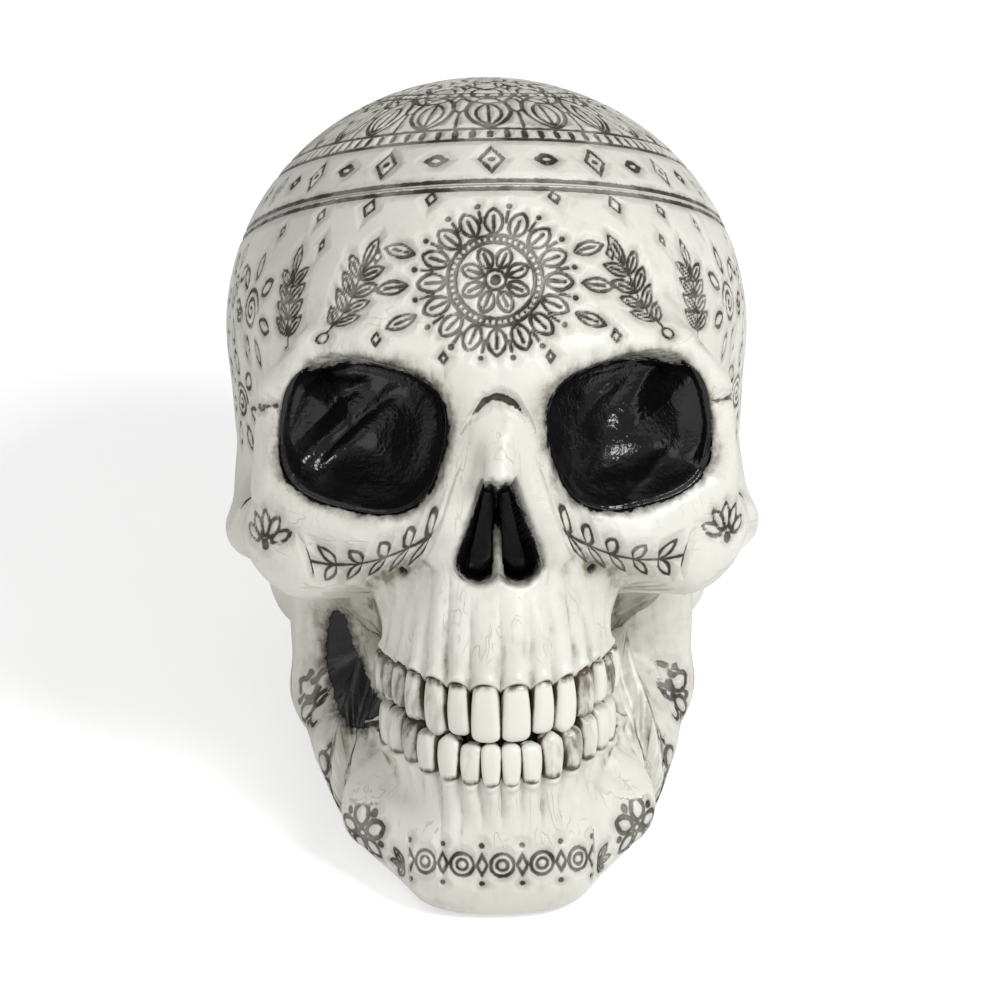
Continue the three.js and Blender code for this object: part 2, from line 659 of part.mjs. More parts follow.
const head = new THREE.Group();
head.rotation.x = -lean_angle;
head.position.z = ear_line_height + stand_height;
head.updateMatrix();
const into_head = head.matrix.clone().invert();

function pocketsIn(solid) {
  let cut = solid;
  for (const pad of pads) {
    const pocket = padGeometry(pad, pad_fit, 0, pad_thickness + pad_fit);
    cut = cut.subtract(solidOf(pocket.applyMatrix4(into_head)));
  }
  return cut;
}

function meshOf(name, solid, material) {
  const mesh = solid.getMesh();
  const geometry = new THREE.BufferGeometry();
  geometry.setAttribute('position', new THREE.BufferAttribute(mesh.vertProperties, 3));
  geometry.setIndex(new THREE.BufferAttribute(mesh.triVerts, 1));
  geometry.computeVertexNormals();
  const result = new THREE.Mesh(geometry, material);
  result.name = name;
  return result;
}

const boneMaterial = () => new THREE.MeshStandardMaterial({ color: 0xdfe0d8, roughness: 0.4, metalness: 0 });
const padMaterial = () => new THREE.MeshStandardMaterial({ color: 0x2a2a2c, roughness: 0.9, metalness: 0 });

head.add(meshOf('crown_shell', crown(), boneMaterial()));
head.add(meshOf('face_shell', face(), boneMaterial()));
head.add(meshOf('rear_shell', pocketsIn(rear()), boneMaterial()));
head.add(meshOf('jaw_shell', pocketsIn(jaw()), boneMaterial()));
head.add(meshOf('base_cover', cover(), boneMaterial()));

const standing = new THREE.Group();
standing.add(head);
for (const pad of pads) {
  const mesh = new THREE.Mesh(padGeometry(pad, 0, 0, pad_thickness), padMaterial());
  mesh.name = pad.name;
  standing.add(mesh);
}

// The origin lies under the middle of the skull, on the surface that it stands on
standing.updateMatrixWorld(true);
const box = new THREE.Box3().setFromObject(standing, true);
standing.position.y = -(box.min.y + box.max.y) / 2;

const skull = new THREE.Group();
skull.add(standing);

export default skull;
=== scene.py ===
"""Looks of a decorative skull: an off-white moulded head, engraved, with a dark wash in its grooves."""

import bmesh
import bpy
import numpy as np
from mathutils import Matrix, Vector


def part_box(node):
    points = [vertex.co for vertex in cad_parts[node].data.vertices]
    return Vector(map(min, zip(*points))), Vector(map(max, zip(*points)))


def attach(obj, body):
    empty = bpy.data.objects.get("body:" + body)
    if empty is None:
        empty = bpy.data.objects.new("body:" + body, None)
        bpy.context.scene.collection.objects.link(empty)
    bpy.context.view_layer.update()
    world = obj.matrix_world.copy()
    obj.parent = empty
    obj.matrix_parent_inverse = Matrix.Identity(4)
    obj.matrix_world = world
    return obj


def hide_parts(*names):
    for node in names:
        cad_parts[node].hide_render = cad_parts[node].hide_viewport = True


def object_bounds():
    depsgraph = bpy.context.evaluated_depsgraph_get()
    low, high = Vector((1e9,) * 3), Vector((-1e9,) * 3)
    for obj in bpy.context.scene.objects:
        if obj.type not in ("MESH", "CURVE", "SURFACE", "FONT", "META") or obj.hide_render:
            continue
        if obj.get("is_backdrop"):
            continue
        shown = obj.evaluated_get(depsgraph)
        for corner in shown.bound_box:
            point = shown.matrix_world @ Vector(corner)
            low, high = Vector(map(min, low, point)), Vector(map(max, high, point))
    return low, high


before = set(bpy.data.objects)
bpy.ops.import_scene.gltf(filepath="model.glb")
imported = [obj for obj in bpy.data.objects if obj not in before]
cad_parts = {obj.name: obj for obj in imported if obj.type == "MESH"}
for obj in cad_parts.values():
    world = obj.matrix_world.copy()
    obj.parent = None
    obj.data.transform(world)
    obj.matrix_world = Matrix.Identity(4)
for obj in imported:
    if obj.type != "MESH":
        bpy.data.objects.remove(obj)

frame_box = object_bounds()

# The sculpted head that every moulding is cast from, with the eye sockets and the nose as hollows in it.
# Lengths are shares of the face's height, in the head's own frame: x sideways, y back from the ears, z up.
# It is hollow plastic, four millimetres thick, and stands leaning back on its chin and its rear.
HEAD_WIDTH = 1.41
WALL = 0.04
LEAN = np.radians(20)
EAR_LINE_HEIGHT = 0.676
CHIN_PAD_PLACE = 1.01
SKIN_INSET = 0.004


def smooth_min(a, b, soft):
    """The smaller of two distances, rounded over where they differ by less than soft."""
    h = np.clip(0.5 + 0.5 * (b - a) / soft, 0, 1)
    return b + (a - b) * h - soft * h * (1 - h)


def smooth_max(a, b, soft):
    """The larger of two distances, rounded over in the same way."""
    return -smooth_min(-a, -b, soft)


def oval(p, centre, radii):
    """Distance to an ellipsoid: the scaled radius times itself less one, over the length of its slope."""
    q = [p[i] - centre[i] for i in range(3)]
    k0 = np.sqrt(sum((q[i] / radii[i]) ** 2 for i in range(3)))
    k1 = np.sqrt(sum((q[i] / radii[i] ** 2) ** 2 for i in range(3)))
    return k0 * (k0 - 1) / np.maximum(k1, 1e-6)


def rod(p, start, end, start_radius, end_radius):
    """Distance to a rod whose radius runs evenly from one end to the other."""
    along = [end[i] - start[i] for i in range(3)]
    length_squared = sum(v * v for v in along)
    t = np.clip(sum((p[i] - start[i]) * along[i] for i in range(3)) / length_squared, 0, 1)
    away = np.sqrt(sum((p[i] - start[i] - t * along[i]) ** 2 for i in range(3)))
    return away - (start_radius + (end_radius - start_radius) * t)


def rib(p, points, radii):
    """Distance to a chain of rods."""
    spans = zip(points[:-1], points[1:], radii[:-1], radii[1:])
    return np.minimum.reduce([rod(p, *span) for span in spans])


ROW_BACK = -0.58
ROW_END = -0.30


def row_wall(p, half_width, half_length):
    """Distance to the upright wall over the oval of a tooth row, open towards the back."""
    forward = np.minimum(p[1] - ROW_BACK, 0)
    k0 = np.sqrt((p[0] / half_width) ** 2 + (forward / half_length) ** 2)
    k1 = np.sqrt((p[0] / half_width**2) ** 2 + (forward / half_length**2) ** 2)
    return smooth_max(k0 * (k0 - 1) / np.maximum(k1, 1e-6), p[1] - ROW_END, 0.06)


def upper_wall(p):
    """Bone that carries the upper teeth: the row's wall, drawn in above and below its fullest level."""
    off = (p[2] + 0.40) ** 2
    sides = row_wall(p, 0.296 - 0.6 * off, 0.376 - 0.6 * off)
    return smooth_max(smooth_max(sides, -0.545 - p[2], 0.02), p[2] + 0.06, 0.08)


def lower_wall(p):
    """Bone that carries the lower teeth: the row's wall, wider and longer towards its top."""
    off = p[2] + 0.60
    sides = row_wall(p, 0.286 + 0.06 * off, 0.364 + 0.14 * off)
    return smooth_max(smooth_max(sides, p[2] + 0.555, 0.02), -0.92 - p[2], 0.08)


HEAD_FORMS = [
    (oval, ((0, 0.09, 0.37), (0.705, 0.82, 0.665)), 0),
    (oval, ((0, -0.33, 0.40), (0.58, 0.595, 0.575)), 0.22),
    (oval, ((0.42, -0.02, 0.06), (0.24, 0.36, 0.26)), 0.12),
    (oval, ((0, 0.36, -0.10), (0.50, 0.46, 0.52)), 0.20),
    (oval, ((0, -0.05, -0.22), (0.46, 0.56, 0.32)), 0.14),
    (rib, ([(0.04, -0.86, 0.41), (0.28, -0.83, 0.455), (0.46, -0.76, 0.425), (0.54, -0.72, 0.33),
            (0.56, -0.67, 0.08), (0.35, -0.79, -0.03), (0.13, -0.865, 0.04)],
           [0.085, 0.07, 0.065, 0.065, 0.07, 0.07, 0.06]), 0.10),
    (rib, ([(0.09, -0.89, 0.34), (0.13, -0.86, -0.04)], [0.05, 0.06]), 0.06),
    (oval, ((0, -0.58, 0.06), (0.50, 0.26, 0.40)), 0.10),
    (oval, ((0.47, -0.66, -0.08), (0.14, 0.12, 0.15)), 0.08),
    (rib, ([(0.54, -0.58, -0.06), (0.615, -0.36, -0.09), (0.60, -0.02, -0.03)], [0.11, 0.09, 0.07]), 0.09),
    (upper_wall, (), 0.06),
    (rib, ([(0, -0.88, 0.32), (0, -0.99, 0.14)], [0.06, 0.045]), 0.06),
    (rib, ([(0.03, -0.89, 0.26), (0.11, -0.90, 0.02)], [0.05, 0.045]), 0.055),
    (oval, ((0.50, 0.08, -0.26), (0.11, 0.14, 0.20)), 0.08),
]
JAW_FORMS = [
    (oval, ((0.48, -0.12, -0.34), (0.065, 0.19, 0.34)), 0),
    (rib, ([(0.46, -0.16, -0.58), (0.40, -0.40, -0.68), (0.295, -0.62, -0.79), (0.125, -0.745, -0.88)],
           [0.07, 0.085, 0.12, 0.14]), 0.08),
    (oval, ((0, -0.74, -0.88), (0.22, 0.17, 0.18)), 0.08),
    (lower_wall, (), 0.06),
    (oval, ((0, -0.34, -0.57), (0.40, 0.40, 0.21)), 0.08),
]
HOLLOW_FORMS = [
    (oval, ((0.88, -0.46, 0.24), (0.24, 0.26, 0.26)), 0.12),
    (rib, ([(0.39, -0.62, -0.24), (0.38, -0.50, -0.52)], [0.065, 0.055]), 0.04),
    (oval, ((0.27, -0.97, -0.20), (0.09, 0.09, 0.12)), 0.09),
]
SOCKET_CENTRE = (0.332, -0.90, 0.24)
SOCKET_RADII = (0.198, 0.27, 0.186)
SOCKET_DIP = np.radians(14)
SQUARENESS = 2.8
SOCKET_SWEEP = 0.36
NOSE_PLATE = [(0, -0.86, -0.16), (0, -0.80, -0.03), (0, -0.74, 0.05)], [0.021, 0.016, 0.006]


def blended(p, forms):
    """Distance to a list of forms, each run into those before it."""
    first, values, _ = forms[0]
    distance = first(p, *values)
    for form, values, soft in forms[1:]:
        distance = smooth_min(distance, form(p, *values), soft)
    return distance


def eye_socket(p):
    """Distance to the socket: a rounded square that dips at its outer corner and falls back to the side."""
    x, z = p[0] - SOCKET_CENTRE[0], p[2] - SOCKET_CENTRE[2]
    across = np.cos(SOCKET_DIP) * x + np.sin(SOCKET_DIP) * z
    up = np.cos(SOCKET_DIP) * z - np.sin(SOCKET_DIP) * x
    deep = p[1] - SOCKET_CENTRE[1] - SOCKET_SWEEP * x
    front = np.abs(across / SOCKET_RADII[0]) ** SQUARENESS + np.abs(up / SOCKET_RADII[2]) ** SQUARENESS
    reach = (front + np.abs(deep / SOCKET_RADII[1]) ** 2.2) ** (1 / SQUARENESS)
    return (reach - 1) * 0.19


def nose_opening(p):
    """Distance to the nose: two tapering lobes cut straight back, parted below by a thin upright plate."""
    flat = (p[0], 0 * p[0], p[2])
    lobes = rod(flat, (0.052, 0, -0.086), (0.016, 0, 0.115), 0.054, 0.026)
    depth = smooth_max(lobes, p[1] + 0.74, 0.04)
    return smooth_max(depth, -rib(p, *NOSE_PLATE), 0.012)


def above_floor(y, z):
    """Height over the flat underside, which lies level where the leaning head stands."""
    return z * np.cos(LEAN) - y * np.sin(LEAN) + EAR_LINE_HEIGHT


def mirrored(x, y, z):
    """The same place on the half where x is above nought, rounded over where the halves meet."""
    return np.sqrt(x * x + 0.005**2), y, z


def bone(p):
    """Distance to the head and the jaw run together, before anything is hollowed out of them."""
    return smooth_min(blended(p, HEAD_FORMS), blended(p, JAW_FORMS), 0.03)


def skin(x, y, z):
    """Distance to the outer skin: the bone, less the hollows at its sides, the eye sockets and the nose."""
    p = mirrored(x, y, z)
    distance = bone(p)
    for form, values, soft in HOLLOW_FORMS:
        distance = smooth_max(distance, -form(p, *values), soft)
    distance = smooth_max(distance, -eye_socket(p), 0.025)
    distance = smooth_max(distance, -nose_opening(p), 0.012)
    return smooth_max(distance, -above_floor(y, z), 0.01) + SKIN_INSET


AXIS_TILT = np.radians(16)
AXIS_LOW = np.array([0, -0.25, -0.28])
AXIS_UP = np.array([0, np.sin(AXIS_TILT), np.cos(AXIS_TILT)])
AXIS_FRONT = np.array([0, -np.cos(AXIS_TILT), np.sin(AXIS_TILT)])
RING_SCALE = 0.7
CROWN_SEAM = 0.96
RING_BOTTOM = -RING_SCALE * np.pi / 2
RING_TOP = CROWN_SEAM + RING_SCALE * np.pi / 2


def skin_points(angle, ring):
    """Places on the skin: rays leave the tilted axis at an angle round it, and at a ring number that swings
    below the axis under zero, climbs it to the crown's seam and swings up above that. Each ray is searched
    inwards from outside, by steps of most of the distance to the skin."""
    elevation = (np.minimum(ring, 0) + np.maximum(ring - CROWN_SEAM, 0)) / RING_SCALE
    origin = AXIS_LOW + np.clip(ring, 0, CROWN_SEAM)[..., None] * AXIS_UP
    round_axis = np.sin(angle)[..., None] * np.array([1, 0, 0]) + np.cos(angle)[..., None] * AXIS_FRONT
    ray = np.cos(elevation)[..., None] * round_axis + np.sin(elevation)[..., None] * AXIS_UP
    origin, ray = origin.reshape(-1, 3), ray.reshape(-1, 3)
    reach = np.full(len(ray), 1.25)
    live = np.arange(len(ray))
    for _ in range(200):
        place = origin[live] + reach[live, None] * ray[live]
        distance = skin(*place.T)
        reach[live] = np.maximum(reach[live] - 0.8 * distance, 0.02)
        live = live[np.abs(distance) > 2e-5]
        if len(live) == 0:
            break
    shape = angle.shape
    return origin.reshape(*shape, 3), ray.reshape(*shape, 3), reach.reshape(shape)


FACE_HEIGHT = (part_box("face_shell")[1].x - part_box("face_shell")[0].x) / HEAD_WIDTH
STAND_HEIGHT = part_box("jaw_shell")[0].z
CHIN_PAD_Y = (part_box("chin_pad")[0].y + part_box("chin_pad")[1].y) / 2


def standing(points):
    """The head's frame leant back, scaled to metres and set over its pads."""
    x, y, z = np.moveaxis(points, -1, 0)
    leant_y = y * np.cos(LEAN) + z * np.sin(LEAN) + CHIN_PAD_PLACE
    return np.stack([x * FACE_HEIGHT, leant_y * FACE_HEIGHT + CHIN_PAD_Y,
                     above_floor(y, z) * FACE_HEIGHT + STAND_HEIGHT], -1)


# Surface of one moulding, as a sheet of points with its own coordinates, and the closed body made from it.
# A moulding has a dense outer skin, a plain inner skin one wall further in, and an edge all round.
COARSE = 1
INK_REACH = 0.04
LACQUER_REACH = 0.30
POINT_VALUES = {"ink": INK_REACH, "dark": 0.0, "stain": 0.0, "upright": 0.0, "level": 0.0,
                "lacquer": -LACQUER_REACH, "along": 9.0, "off": 1.0}


class Moulding:
    """Grid of places on the skin between two edge lines, with what the ornament and the wash add to it."""

    def __init__(self, angles, low, high, rows, all_round):
        ring = low(angles) + rows[:, None] * (high(angles) - low(angles))
        self.angle = np.broadcast_to(angles, ring.shape)
        self.ring = ring
        self.all_round = all_round
        self.origin, self.ray, self.reach = skin_points(self.angle, ring)
        self.place = self.origin + self.reach[..., None] * self.ray
        self.outward = self.normals(self.place)
        self.lift = np.zeros(ring.shape)
        for key, plain in POINT_VALUES.items():
            setattr(self, key, np.full(ring.shape, plain))
        step = np.linalg.norm(np.diff(self.place, axis=1), axis=2)
        along = np.concatenate([np.zeros((len(ring), 1)), np.cumsum(step, 1)], 1)
        middle = np.argmin(np.abs(angles - angles.mean()))
        self.across = along - along[:, middle : middle + 1]
        drop = np.linalg.norm(np.diff(self.place[::-1], axis=0), axis=2)
        self.down = np.concatenate([np.zeros((1, ring.shape[1])), np.cumsum(drop, 0)])[::-1]

    def normals(self, place):
        """Outward direction at each point: the slope along the rows crossed with the slope up the columns."""
        if self.all_round:
            padded = np.concatenate([place[:, -1:], place, place[:, :1]], 1)
            sideways = (padded[:, 2:] - padded[:, :-2]) / 2
        else:
            sideways = np.gradient(place, axis=1)
        normal = np.cross(sideways, np.gradient(place, axis=0))
        length = np.linalg.norm(normal, axis=2, keepdims=True)
        return np.where(length > 1e-12, normal / np.maximum(length, 1e-12), self.ray)

    def evened(self, part):
        """Takes the skin a part of the way to the average round it, for places that the rays only graze."""
        average = blurred(self.reach, 7 // COARSE, 3 // COARSE, self.all_round)
        self.reach = self.reach + part * (average - self.reach)
        self.place = self.origin + self.reach[..., None] * self.ray
        self.outward = self.normals(self.place)

    def grazed(self, front, jumps):
        """How far the rays only graze the skin beside the jaw's branches, behind a depth: nought where the
        reach runs evenly from column to column, and one where it jumps."""
        x, y, z = np.moveaxis(self.place, -1, 0)
        jump = blurred(np.abs(np.gradient(self.reach, axis=1)), 4 // COARSE, 3 // COARSE, self.all_round)
        behind = smooth_step(0.27, 0.31, np.abs(x)) * smooth_step(front, front + 0.08, y)
        behind = behind * smooth_step(-0.02, -0.08, z)
        return smooth_step(jumps[0] * COARSE, jumps[1] * COARSE, jump) * behind

    def nearest(self, angle, ring):
        """Row and column of a place that is named by its angle in degrees and its ring."""
        column = np.argmin(np.abs(self.angle[0] - np.radians(angle)))
        return np.argmin(np.abs(self.ring[:, column] - ring)), column

    def facing(self, x, z):
        """Row and column of the place that shows in front at a distance to the side and a height."""
        gap = np.hypot(self.place[..., 0] - x, self.place[..., 2] - z) + 9 * (self.outward[..., 1] > -0.1)
        return np.unravel_index(np.argmin(gap), gap.shape)

    def flat(self, place, turn=0):
        """Level and upright distances from a row and column, over the plane that touches the skin there, seen
        from outside, mirrored on the left half and turned by degrees. Skin that turns away is left out."""
        row, column = place
        normal = self.outward[max(row - 9, 0) : row + 10, max(column - 9, 0) : column + 10].mean((0, 1))
        normal /= np.linalg.norm(normal)
        level = np.cross([0, 0, 1], normal)
        level /= np.linalg.norm(level)
        offset = self.place - self.place[row, column]
        side = -1 if self.angle[row, column] < 0 else 1
        u, v = offset @ level * side, offset @ np.cross(normal, level)
        met = np.abs((self.outward * self.ray).sum(2))
        near = (np.abs(offset @ normal) < 0.13) & (self.outward @ normal > 0.35) & (met > 0.30)
        return turned(np.where(near, u, 9), np.where(near, v, 9), turn)


def smooth_step(low, high, value):
    """Nought below low, one above high, and an even bend between them."""
    t = np.clip((value - low) / (high - low), 0, 1)
    return t * t * (3 - 2 * t)


def hashed(cells, seed):
    """A repeatable number between nought and one for each whole-numbered cell."""
    mixed = np.sin(cells @ np.array([127.1, 311.7, 74.7]) + seed * 53.3) * 43758.5453
    return mixed - np.floor(mixed)


def cloud(place, size, seed):
    """Soft blotches between nought and one: numbers at the corners of cells, evened out between them."""
    q = place.reshape(-1, 3) / size
    cell = np.floor(q)
    f = q - cell
    f = f * f * (3 - 2 * f)
    total = np.zeros(len(q))
    for corner in np.ndindex(2, 2, 2):
        share = np.prod(np.where(corner, f, 1 - f), axis=1)
        total += share * hashed(cell + np.array(corner), seed)
    return total.reshape(place.shape[:-1])


def clouds(place, size, seed):
    """Blotches of three sizes, each half the size and half the weight of the one before."""
    return sum(cloud(place, size / 2**i, seed + i) * 2 ** (2 - i) for i in range(3)) / 7


def blurred(values, rows, columns, all_round):
    """Average over a window of the grid, taken twice along each direction from running sums."""
    result = values
    for axis, half in ((0, rows), (1, columns), (0, rows), (1, columns)):
        mode = "wrap" if axis == 1 and all_round else "edge"
        pad = [(0, 0), (0, 0)]
        pad[axis] = (half + 1, half)
        total = np.cumsum(np.pad(result, pad, mode=mode), axis=axis)
        width = 2 * half + 1
        upper = np.take(total, np.arange(width, total.shape[axis]), axis=axis)
        lower = np.take(total, np.arange(total.shape[axis] - width), axis=axis)
        result = (upper - lower) / width
    return result


def quads(sheet):
    """Faces with four corners between the neighbouring rows and columns of a sheet of point numbers."""
    corners = sheet[:-1, :-1], sheet[:-1, 1:], sheet[1:, 1:], sheet[1:, :-1]
    return np.stack(corners, -1).reshape(-1, 4)


def closed_body(name, grid, inner_rows=14):
    """Outer skin, inner skin and edges as one closed mesh, with the wash and the lacquer as values on its
    points. An inner point lies one wall under the least reach of the rows and columns round it."""
    outer = grid.place + grid.outward * grid.lift[..., None]
    count, width = grid.reach.shape
    picked = np.linspace(0, count - 1, inner_rows).round().astype(int)
    first = np.concatenate([picked[:1], picked[:-1]])
    last = np.concatenate([picked[1:], picked[-1:]])
    sunk_reach = grid.reach + 2 * np.minimum(grid.lift, 0)
    inner_reach = np.stack([sunk_reach[low : high + 1].min(0) for low, high in zip(first, last)])
    inner_reach[[0, -1]] = grid.reach[[0, -1]]
    window = max(width // 60, 1)
    padded = np.pad(inner_reach, ((0, 0), (window, window)), mode="wrap" if grid.all_round else "edge")
    least = np.min([padded[:, i : i + width] for i in range(2 * window + 1)], axis=0)
    least[[0, -1]] = inner_reach[[0, -1]]
    inner = grid.origin[picked] + np.maximum(least - WALL, 0.02)[..., None] * grid.ray[picked]
    points = np.concatenate([outer.reshape(-1, 3), inner.reshape(-1, 3)])
    a = np.arange(count * width).reshape(count, width)
    b = count * width + np.arange(inner_rows * width).reshape(inner_rows, width)
    if grid.all_round:
        a, b = np.concatenate([a, a[:, :1]], 1), np.concatenate([b, b[:, :1]], 1)
    faces = quads(np.concatenate([b[::-1], a, b[-1:]])).tolist()
    if not grid.all_round:
        nearest = np.searchsorted((picked[1:] + picked[:-1]) / 2, np.arange(count))
        turns = np.flatnonzero(np.diff(nearest))
        for side, flip in ((0, 1), (-1, -1)):
            strip = np.stack([a[1:, side], a[:-1, side], b[nearest[:-1], side]], -1)
            fill = np.stack([a[turns + 1, side], b[nearest[turns], side], b[nearest[turns + 1], side]], -1)
            faces += strip[:, ::flip].tolist() + fill[:, ::flip].tolist()
    mesh = bpy.data.meshes.new(name)
    mesh.from_pydata(standing(points), [], faces)
    for key, plain in POINT_VALUES.items():
        inside = np.full(inner_rows * width, plain)
        values = np.concatenate([getattr(grid, key).ravel(), inside])
        mesh.attributes.new(key, "FLOAT", "POINT").data.foreach_set("value", values.astype(np.float32))
    mesh.shade_smooth()
    return mesh


# Bone plastic that all the mouldings are cast in: off-white, satin, with a brown-black wash left in every
# groove and hollow; the same dark also paints shade into the pits behind the upper teeth. The sockets and the
# nose are painted with black gloss lacquer that ends in brushed edges.
class Maths:
    """A node socket that Python's own operators work on: each operation adds one node to the material."""

    def __init__(self, tree, socket):
        self.tree = tree
        self.socket = socket

    def node(self, kind, settings, *values, output=0):
        """Adds a node of any type, sets it up, and joins or fills its sockets, in order or by name."""
        made = self.tree.nodes.new(kind)
        for key, value in settings.items():
            setattr(made, key, value)
        for index, value in enumerate(values):
            name, value = value if isinstance(value, tuple) and len(value) == 2 else (index, value)
            if isinstance(value, Maths):
                self.tree.links.new(value.socket, made.inputs[name])
            else:
                made.inputs[name].default_value = value
        return Maths(self.tree, made.outputs[output])

    def math(self, operation, *values):
        return self.node("ShaderNodeMath", {"operation": operation}, *values)

    def __add__(self, other):
        return self.math("ADD", self, other)

    def __radd__(self, other):
        return self.math("ADD", other, self)

    def __sub__(self, other):
        return self.math("SUBTRACT", self, other)

    def __rsub__(self, other):
        return self.math("SUBTRACT", other, self)

    def __mul__(self, other):
        return self.math("MULTIPLY", self, other)

    def __rmul__(self, other):
        return self.math("MULTIPLY", other, self)

    def __abs__(self):
        return self.math("ABSOLUTE", self)

    def least(self, other):
        return self.math("MINIMUM", self, other)

    def most(self, other):
        return self.math("MAXIMUM", self, other)

    def between(self, low, high):
        """Nought below low and one above high, with an even bend between them."""
        settings = {"interpolation_type": "SMOOTHSTEP"}
        return self.node("ShaderNodeMapRange", settings, self, low, high, 0.0, 1.0)

    def shade(self, first, second):
        """A colour that runs from the first to the second by this value."""
        ends = ("Factor", self), (6, first), (7, second)
        return self.node("ShaderNodeMix", {"data_type": "RGBA"}, *ends, output=2)

    def stretched(self, amounts):
        """The place with each of its three lengths multiplied."""
        return self.node("ShaderNodeVectorMath", {"operation": "MULTIPLY"}, self, amounts)

    def noise(self, scale, detail, roughness=0.55):
        """Soft noise over the piece, between nought and one, with that many blotches to the metre."""
        return self.node("ShaderNodeTexNoise", {"noise_dimensions": "3D"}, ("Vector", self), ("Scale", scale),
                         ("Detail", detail), ("Roughness", roughness))

    def reading(self, key):
        """The value that the piece's points carry under a name."""
        return self.node("ShaderNodeAttribute", {"attribute_name": key}, output="Fac")

    def feeds(self, shader, name):
        """Joins this value to one socket of a shader."""
        self.tree.links.new(self.socket, shader.inputs[name])

    def raises(self, shader, strength, distance):
        """Tilts a shader's surface as this value's fine relief would."""
        self.node("ShaderNodeBump", {}, ("Strength", strength), ("Distance", distance),
                  ("Height", self)).feeds(shader, "Normal")


def new_material(name, **constants):
    """A material with its shader, on which some sockets are set, and its object coordinates."""
    material = bpy.data.materials.new(name)
    material.use_nodes = True
    tree = material.node_tree
    shader = tree.nodes["Principled BSDF"]
    for socket, value in constants.items():
        shader.inputs[socket.replace("_", " ")].default_value = value
    return material, shader, Maths(tree, tree.nodes.new("ShaderNodeTexCoord").outputs["Object"])


BONE_PALE = (0.79, 0.78, 0.72, 1)
BONE_GREY = (0.70, 0.695, 0.63, 1)
BONE_STAIN = (0.235, 0.210, 0.150, 1)
# The wash colour also paints the shadow in the right pit behind the upper teeth.
WASH_AND_SHADE_DARK = (0.020, 0.015, 0.010, 1)
LACQUER_BLACK = (0.0040, 0.0040, 0.0045, 1)


def garland(place, step=0.066, length=0.058, width=0.024, slant=np.radians(52)):
    """Distance to a stem with a pair of slanted leaves at every step along it: the same pointed leaf as those
    that are cut into the mesh, from the distances along the stem and off it."""
    off, along = abs(place.reading("off")), place.reading("along")
    climb = place.math("FRACT", along * (1 / step)) * step
    across = abs(off * np.cos(slant) - climb * np.sin(slant))
    up = off * np.sin(slant) + climb * np.cos(slant) - length / 2
    radius = (length**2 + width**2) / (4 * width)
    middle = across + (radius - width / 2)
    nearest = abs(place.math("SQRT", middle * middle + up * up) - radius).least(off)
    return nearest.most(0 - along).most(along - 5 * step)


def fine_cuts(place, stretch, reach):
    """Thin broken lines along one direction, where the points of the piece ask for them."""
    drawn_out = place.stretched(stretch)
    middle = abs(drawn_out.noise(360.0, 1.4, 0.5) - 0.5)
    broken = drawn_out.noise(150.0, 2.0).between(0.46, 0.64)
    return (1 - middle.between(0.004, 0.036)) * broken * place.reading(reach)


def bone_material():
    """Plastic with cloudy tone, then smears, fine cuts, grooves full of wash, dark hollows and lacquer. Ink
    and lacquer are distances to an edge, in shares of the face's height, which keeps outlines crisp."""
    material, shader, place = new_material("bone_plastic", IOR=1.46, Coat_Roughness=0.22)
    tone = place.noise(34.0, 4.0)
    blotch = place.noise(190.0, 4.0).between(0.25, 0.75)
    fine = place.noise(520.0, 4.0)
    grain = place.noise(1500.0, 2.0)
    wiped = place.noise(95.0, 3.0).between(0.36, 0.62)
    rubbed = place.stretched((1.0, 1.0, 0.30)).noise(260.0, 4.0)
    cuts = fine_cuts(place, (1.0, 1.0, 0.08), "upright").most(fine_cuts(place, (0.20, 0.45, 1.0), "level"))
    ink = place.reading("ink").least(garland(place) - 0.0048) * 100 + (fine - 0.5) * 0.75
    groove = 1 - ink.between(-0.26, 0.10)
    smear = (1 - ink.between(-0.1, 2.0)) * (0.08 + 0.42 * wiped) * (0.3 + 0.9 * blotch)
    patches = 0.10 + 0.55 * blotch + 0.8 * rubbed.between(0.38, 0.70)
    # The stain values include the pits' smears, heavier on the left away from the lamp: partly painted shade.
    dirt = place.reading("stain") * patches * (0.1 + 1.4 * fine)
    film = 0.20 * tone.between(0.42, 0.70) * rubbed.between(0.45, 0.72)
    stain = dirt.most(smear).most(film).most(cuts * 0.30).least(1.0)
    # The dark values include a painted shadow in the right pit behind the upper teeth, so this wash is partly
    # painted shade.
    hollow = (place.reading("dark") * (0.6 + 0.8 * fine)).between(0.12, 0.85)
    wash_and_shade = (groove * (0.70 + 0.30 * wiped)).most(hollow)
    # The lacquer values include the black in the left pit behind the upper teeth, partly painted shade.
    edge = place.reading("lacquer") * 100 + (fine - 0.5) * 2.2 + (blotch - 0.5) * 0.7
    lacquer = edge.between(-0.10, 0.25)
    singed = edge.between(-2.6, 0.5) * (0.40 + 0.55 * rubbed.between(0.30, 0.62))
    bone = tone.between(0.30, 0.70).shade(BONE_PALE, BONE_GREY)
    colour = wash_and_shade.most(singed).shade(stain.shade(bone, BONE_STAIN), WASH_AND_SHADE_DARK)
    lacquer.shade(colour, LACQUER_BLACK).feeds(shader, "Base Color")
    satin = (0.34 + 0.16 * fine + 0.25 * wash_and_shade) * (1 - lacquer)
    (satin + (0.16 + 0.30 * fine) * lacquer).feeds(shader, "Roughness")
    carved = ink.between(-0.45, 0.20) * 0.50 + ink.between(0.0, 2.6) * 0.75
    carved = carved + fine * 0.10 + grain * 0.02 - cuts * 0.12
    (carved * (1 - lacquer) + fine * lacquer * 0.22).raises(shader, 0.9, 0.001)
    (0.20 * (1 - lacquer)).feeds(shader, "Coat Weight")
    return material


bone_plastic = bone_material()


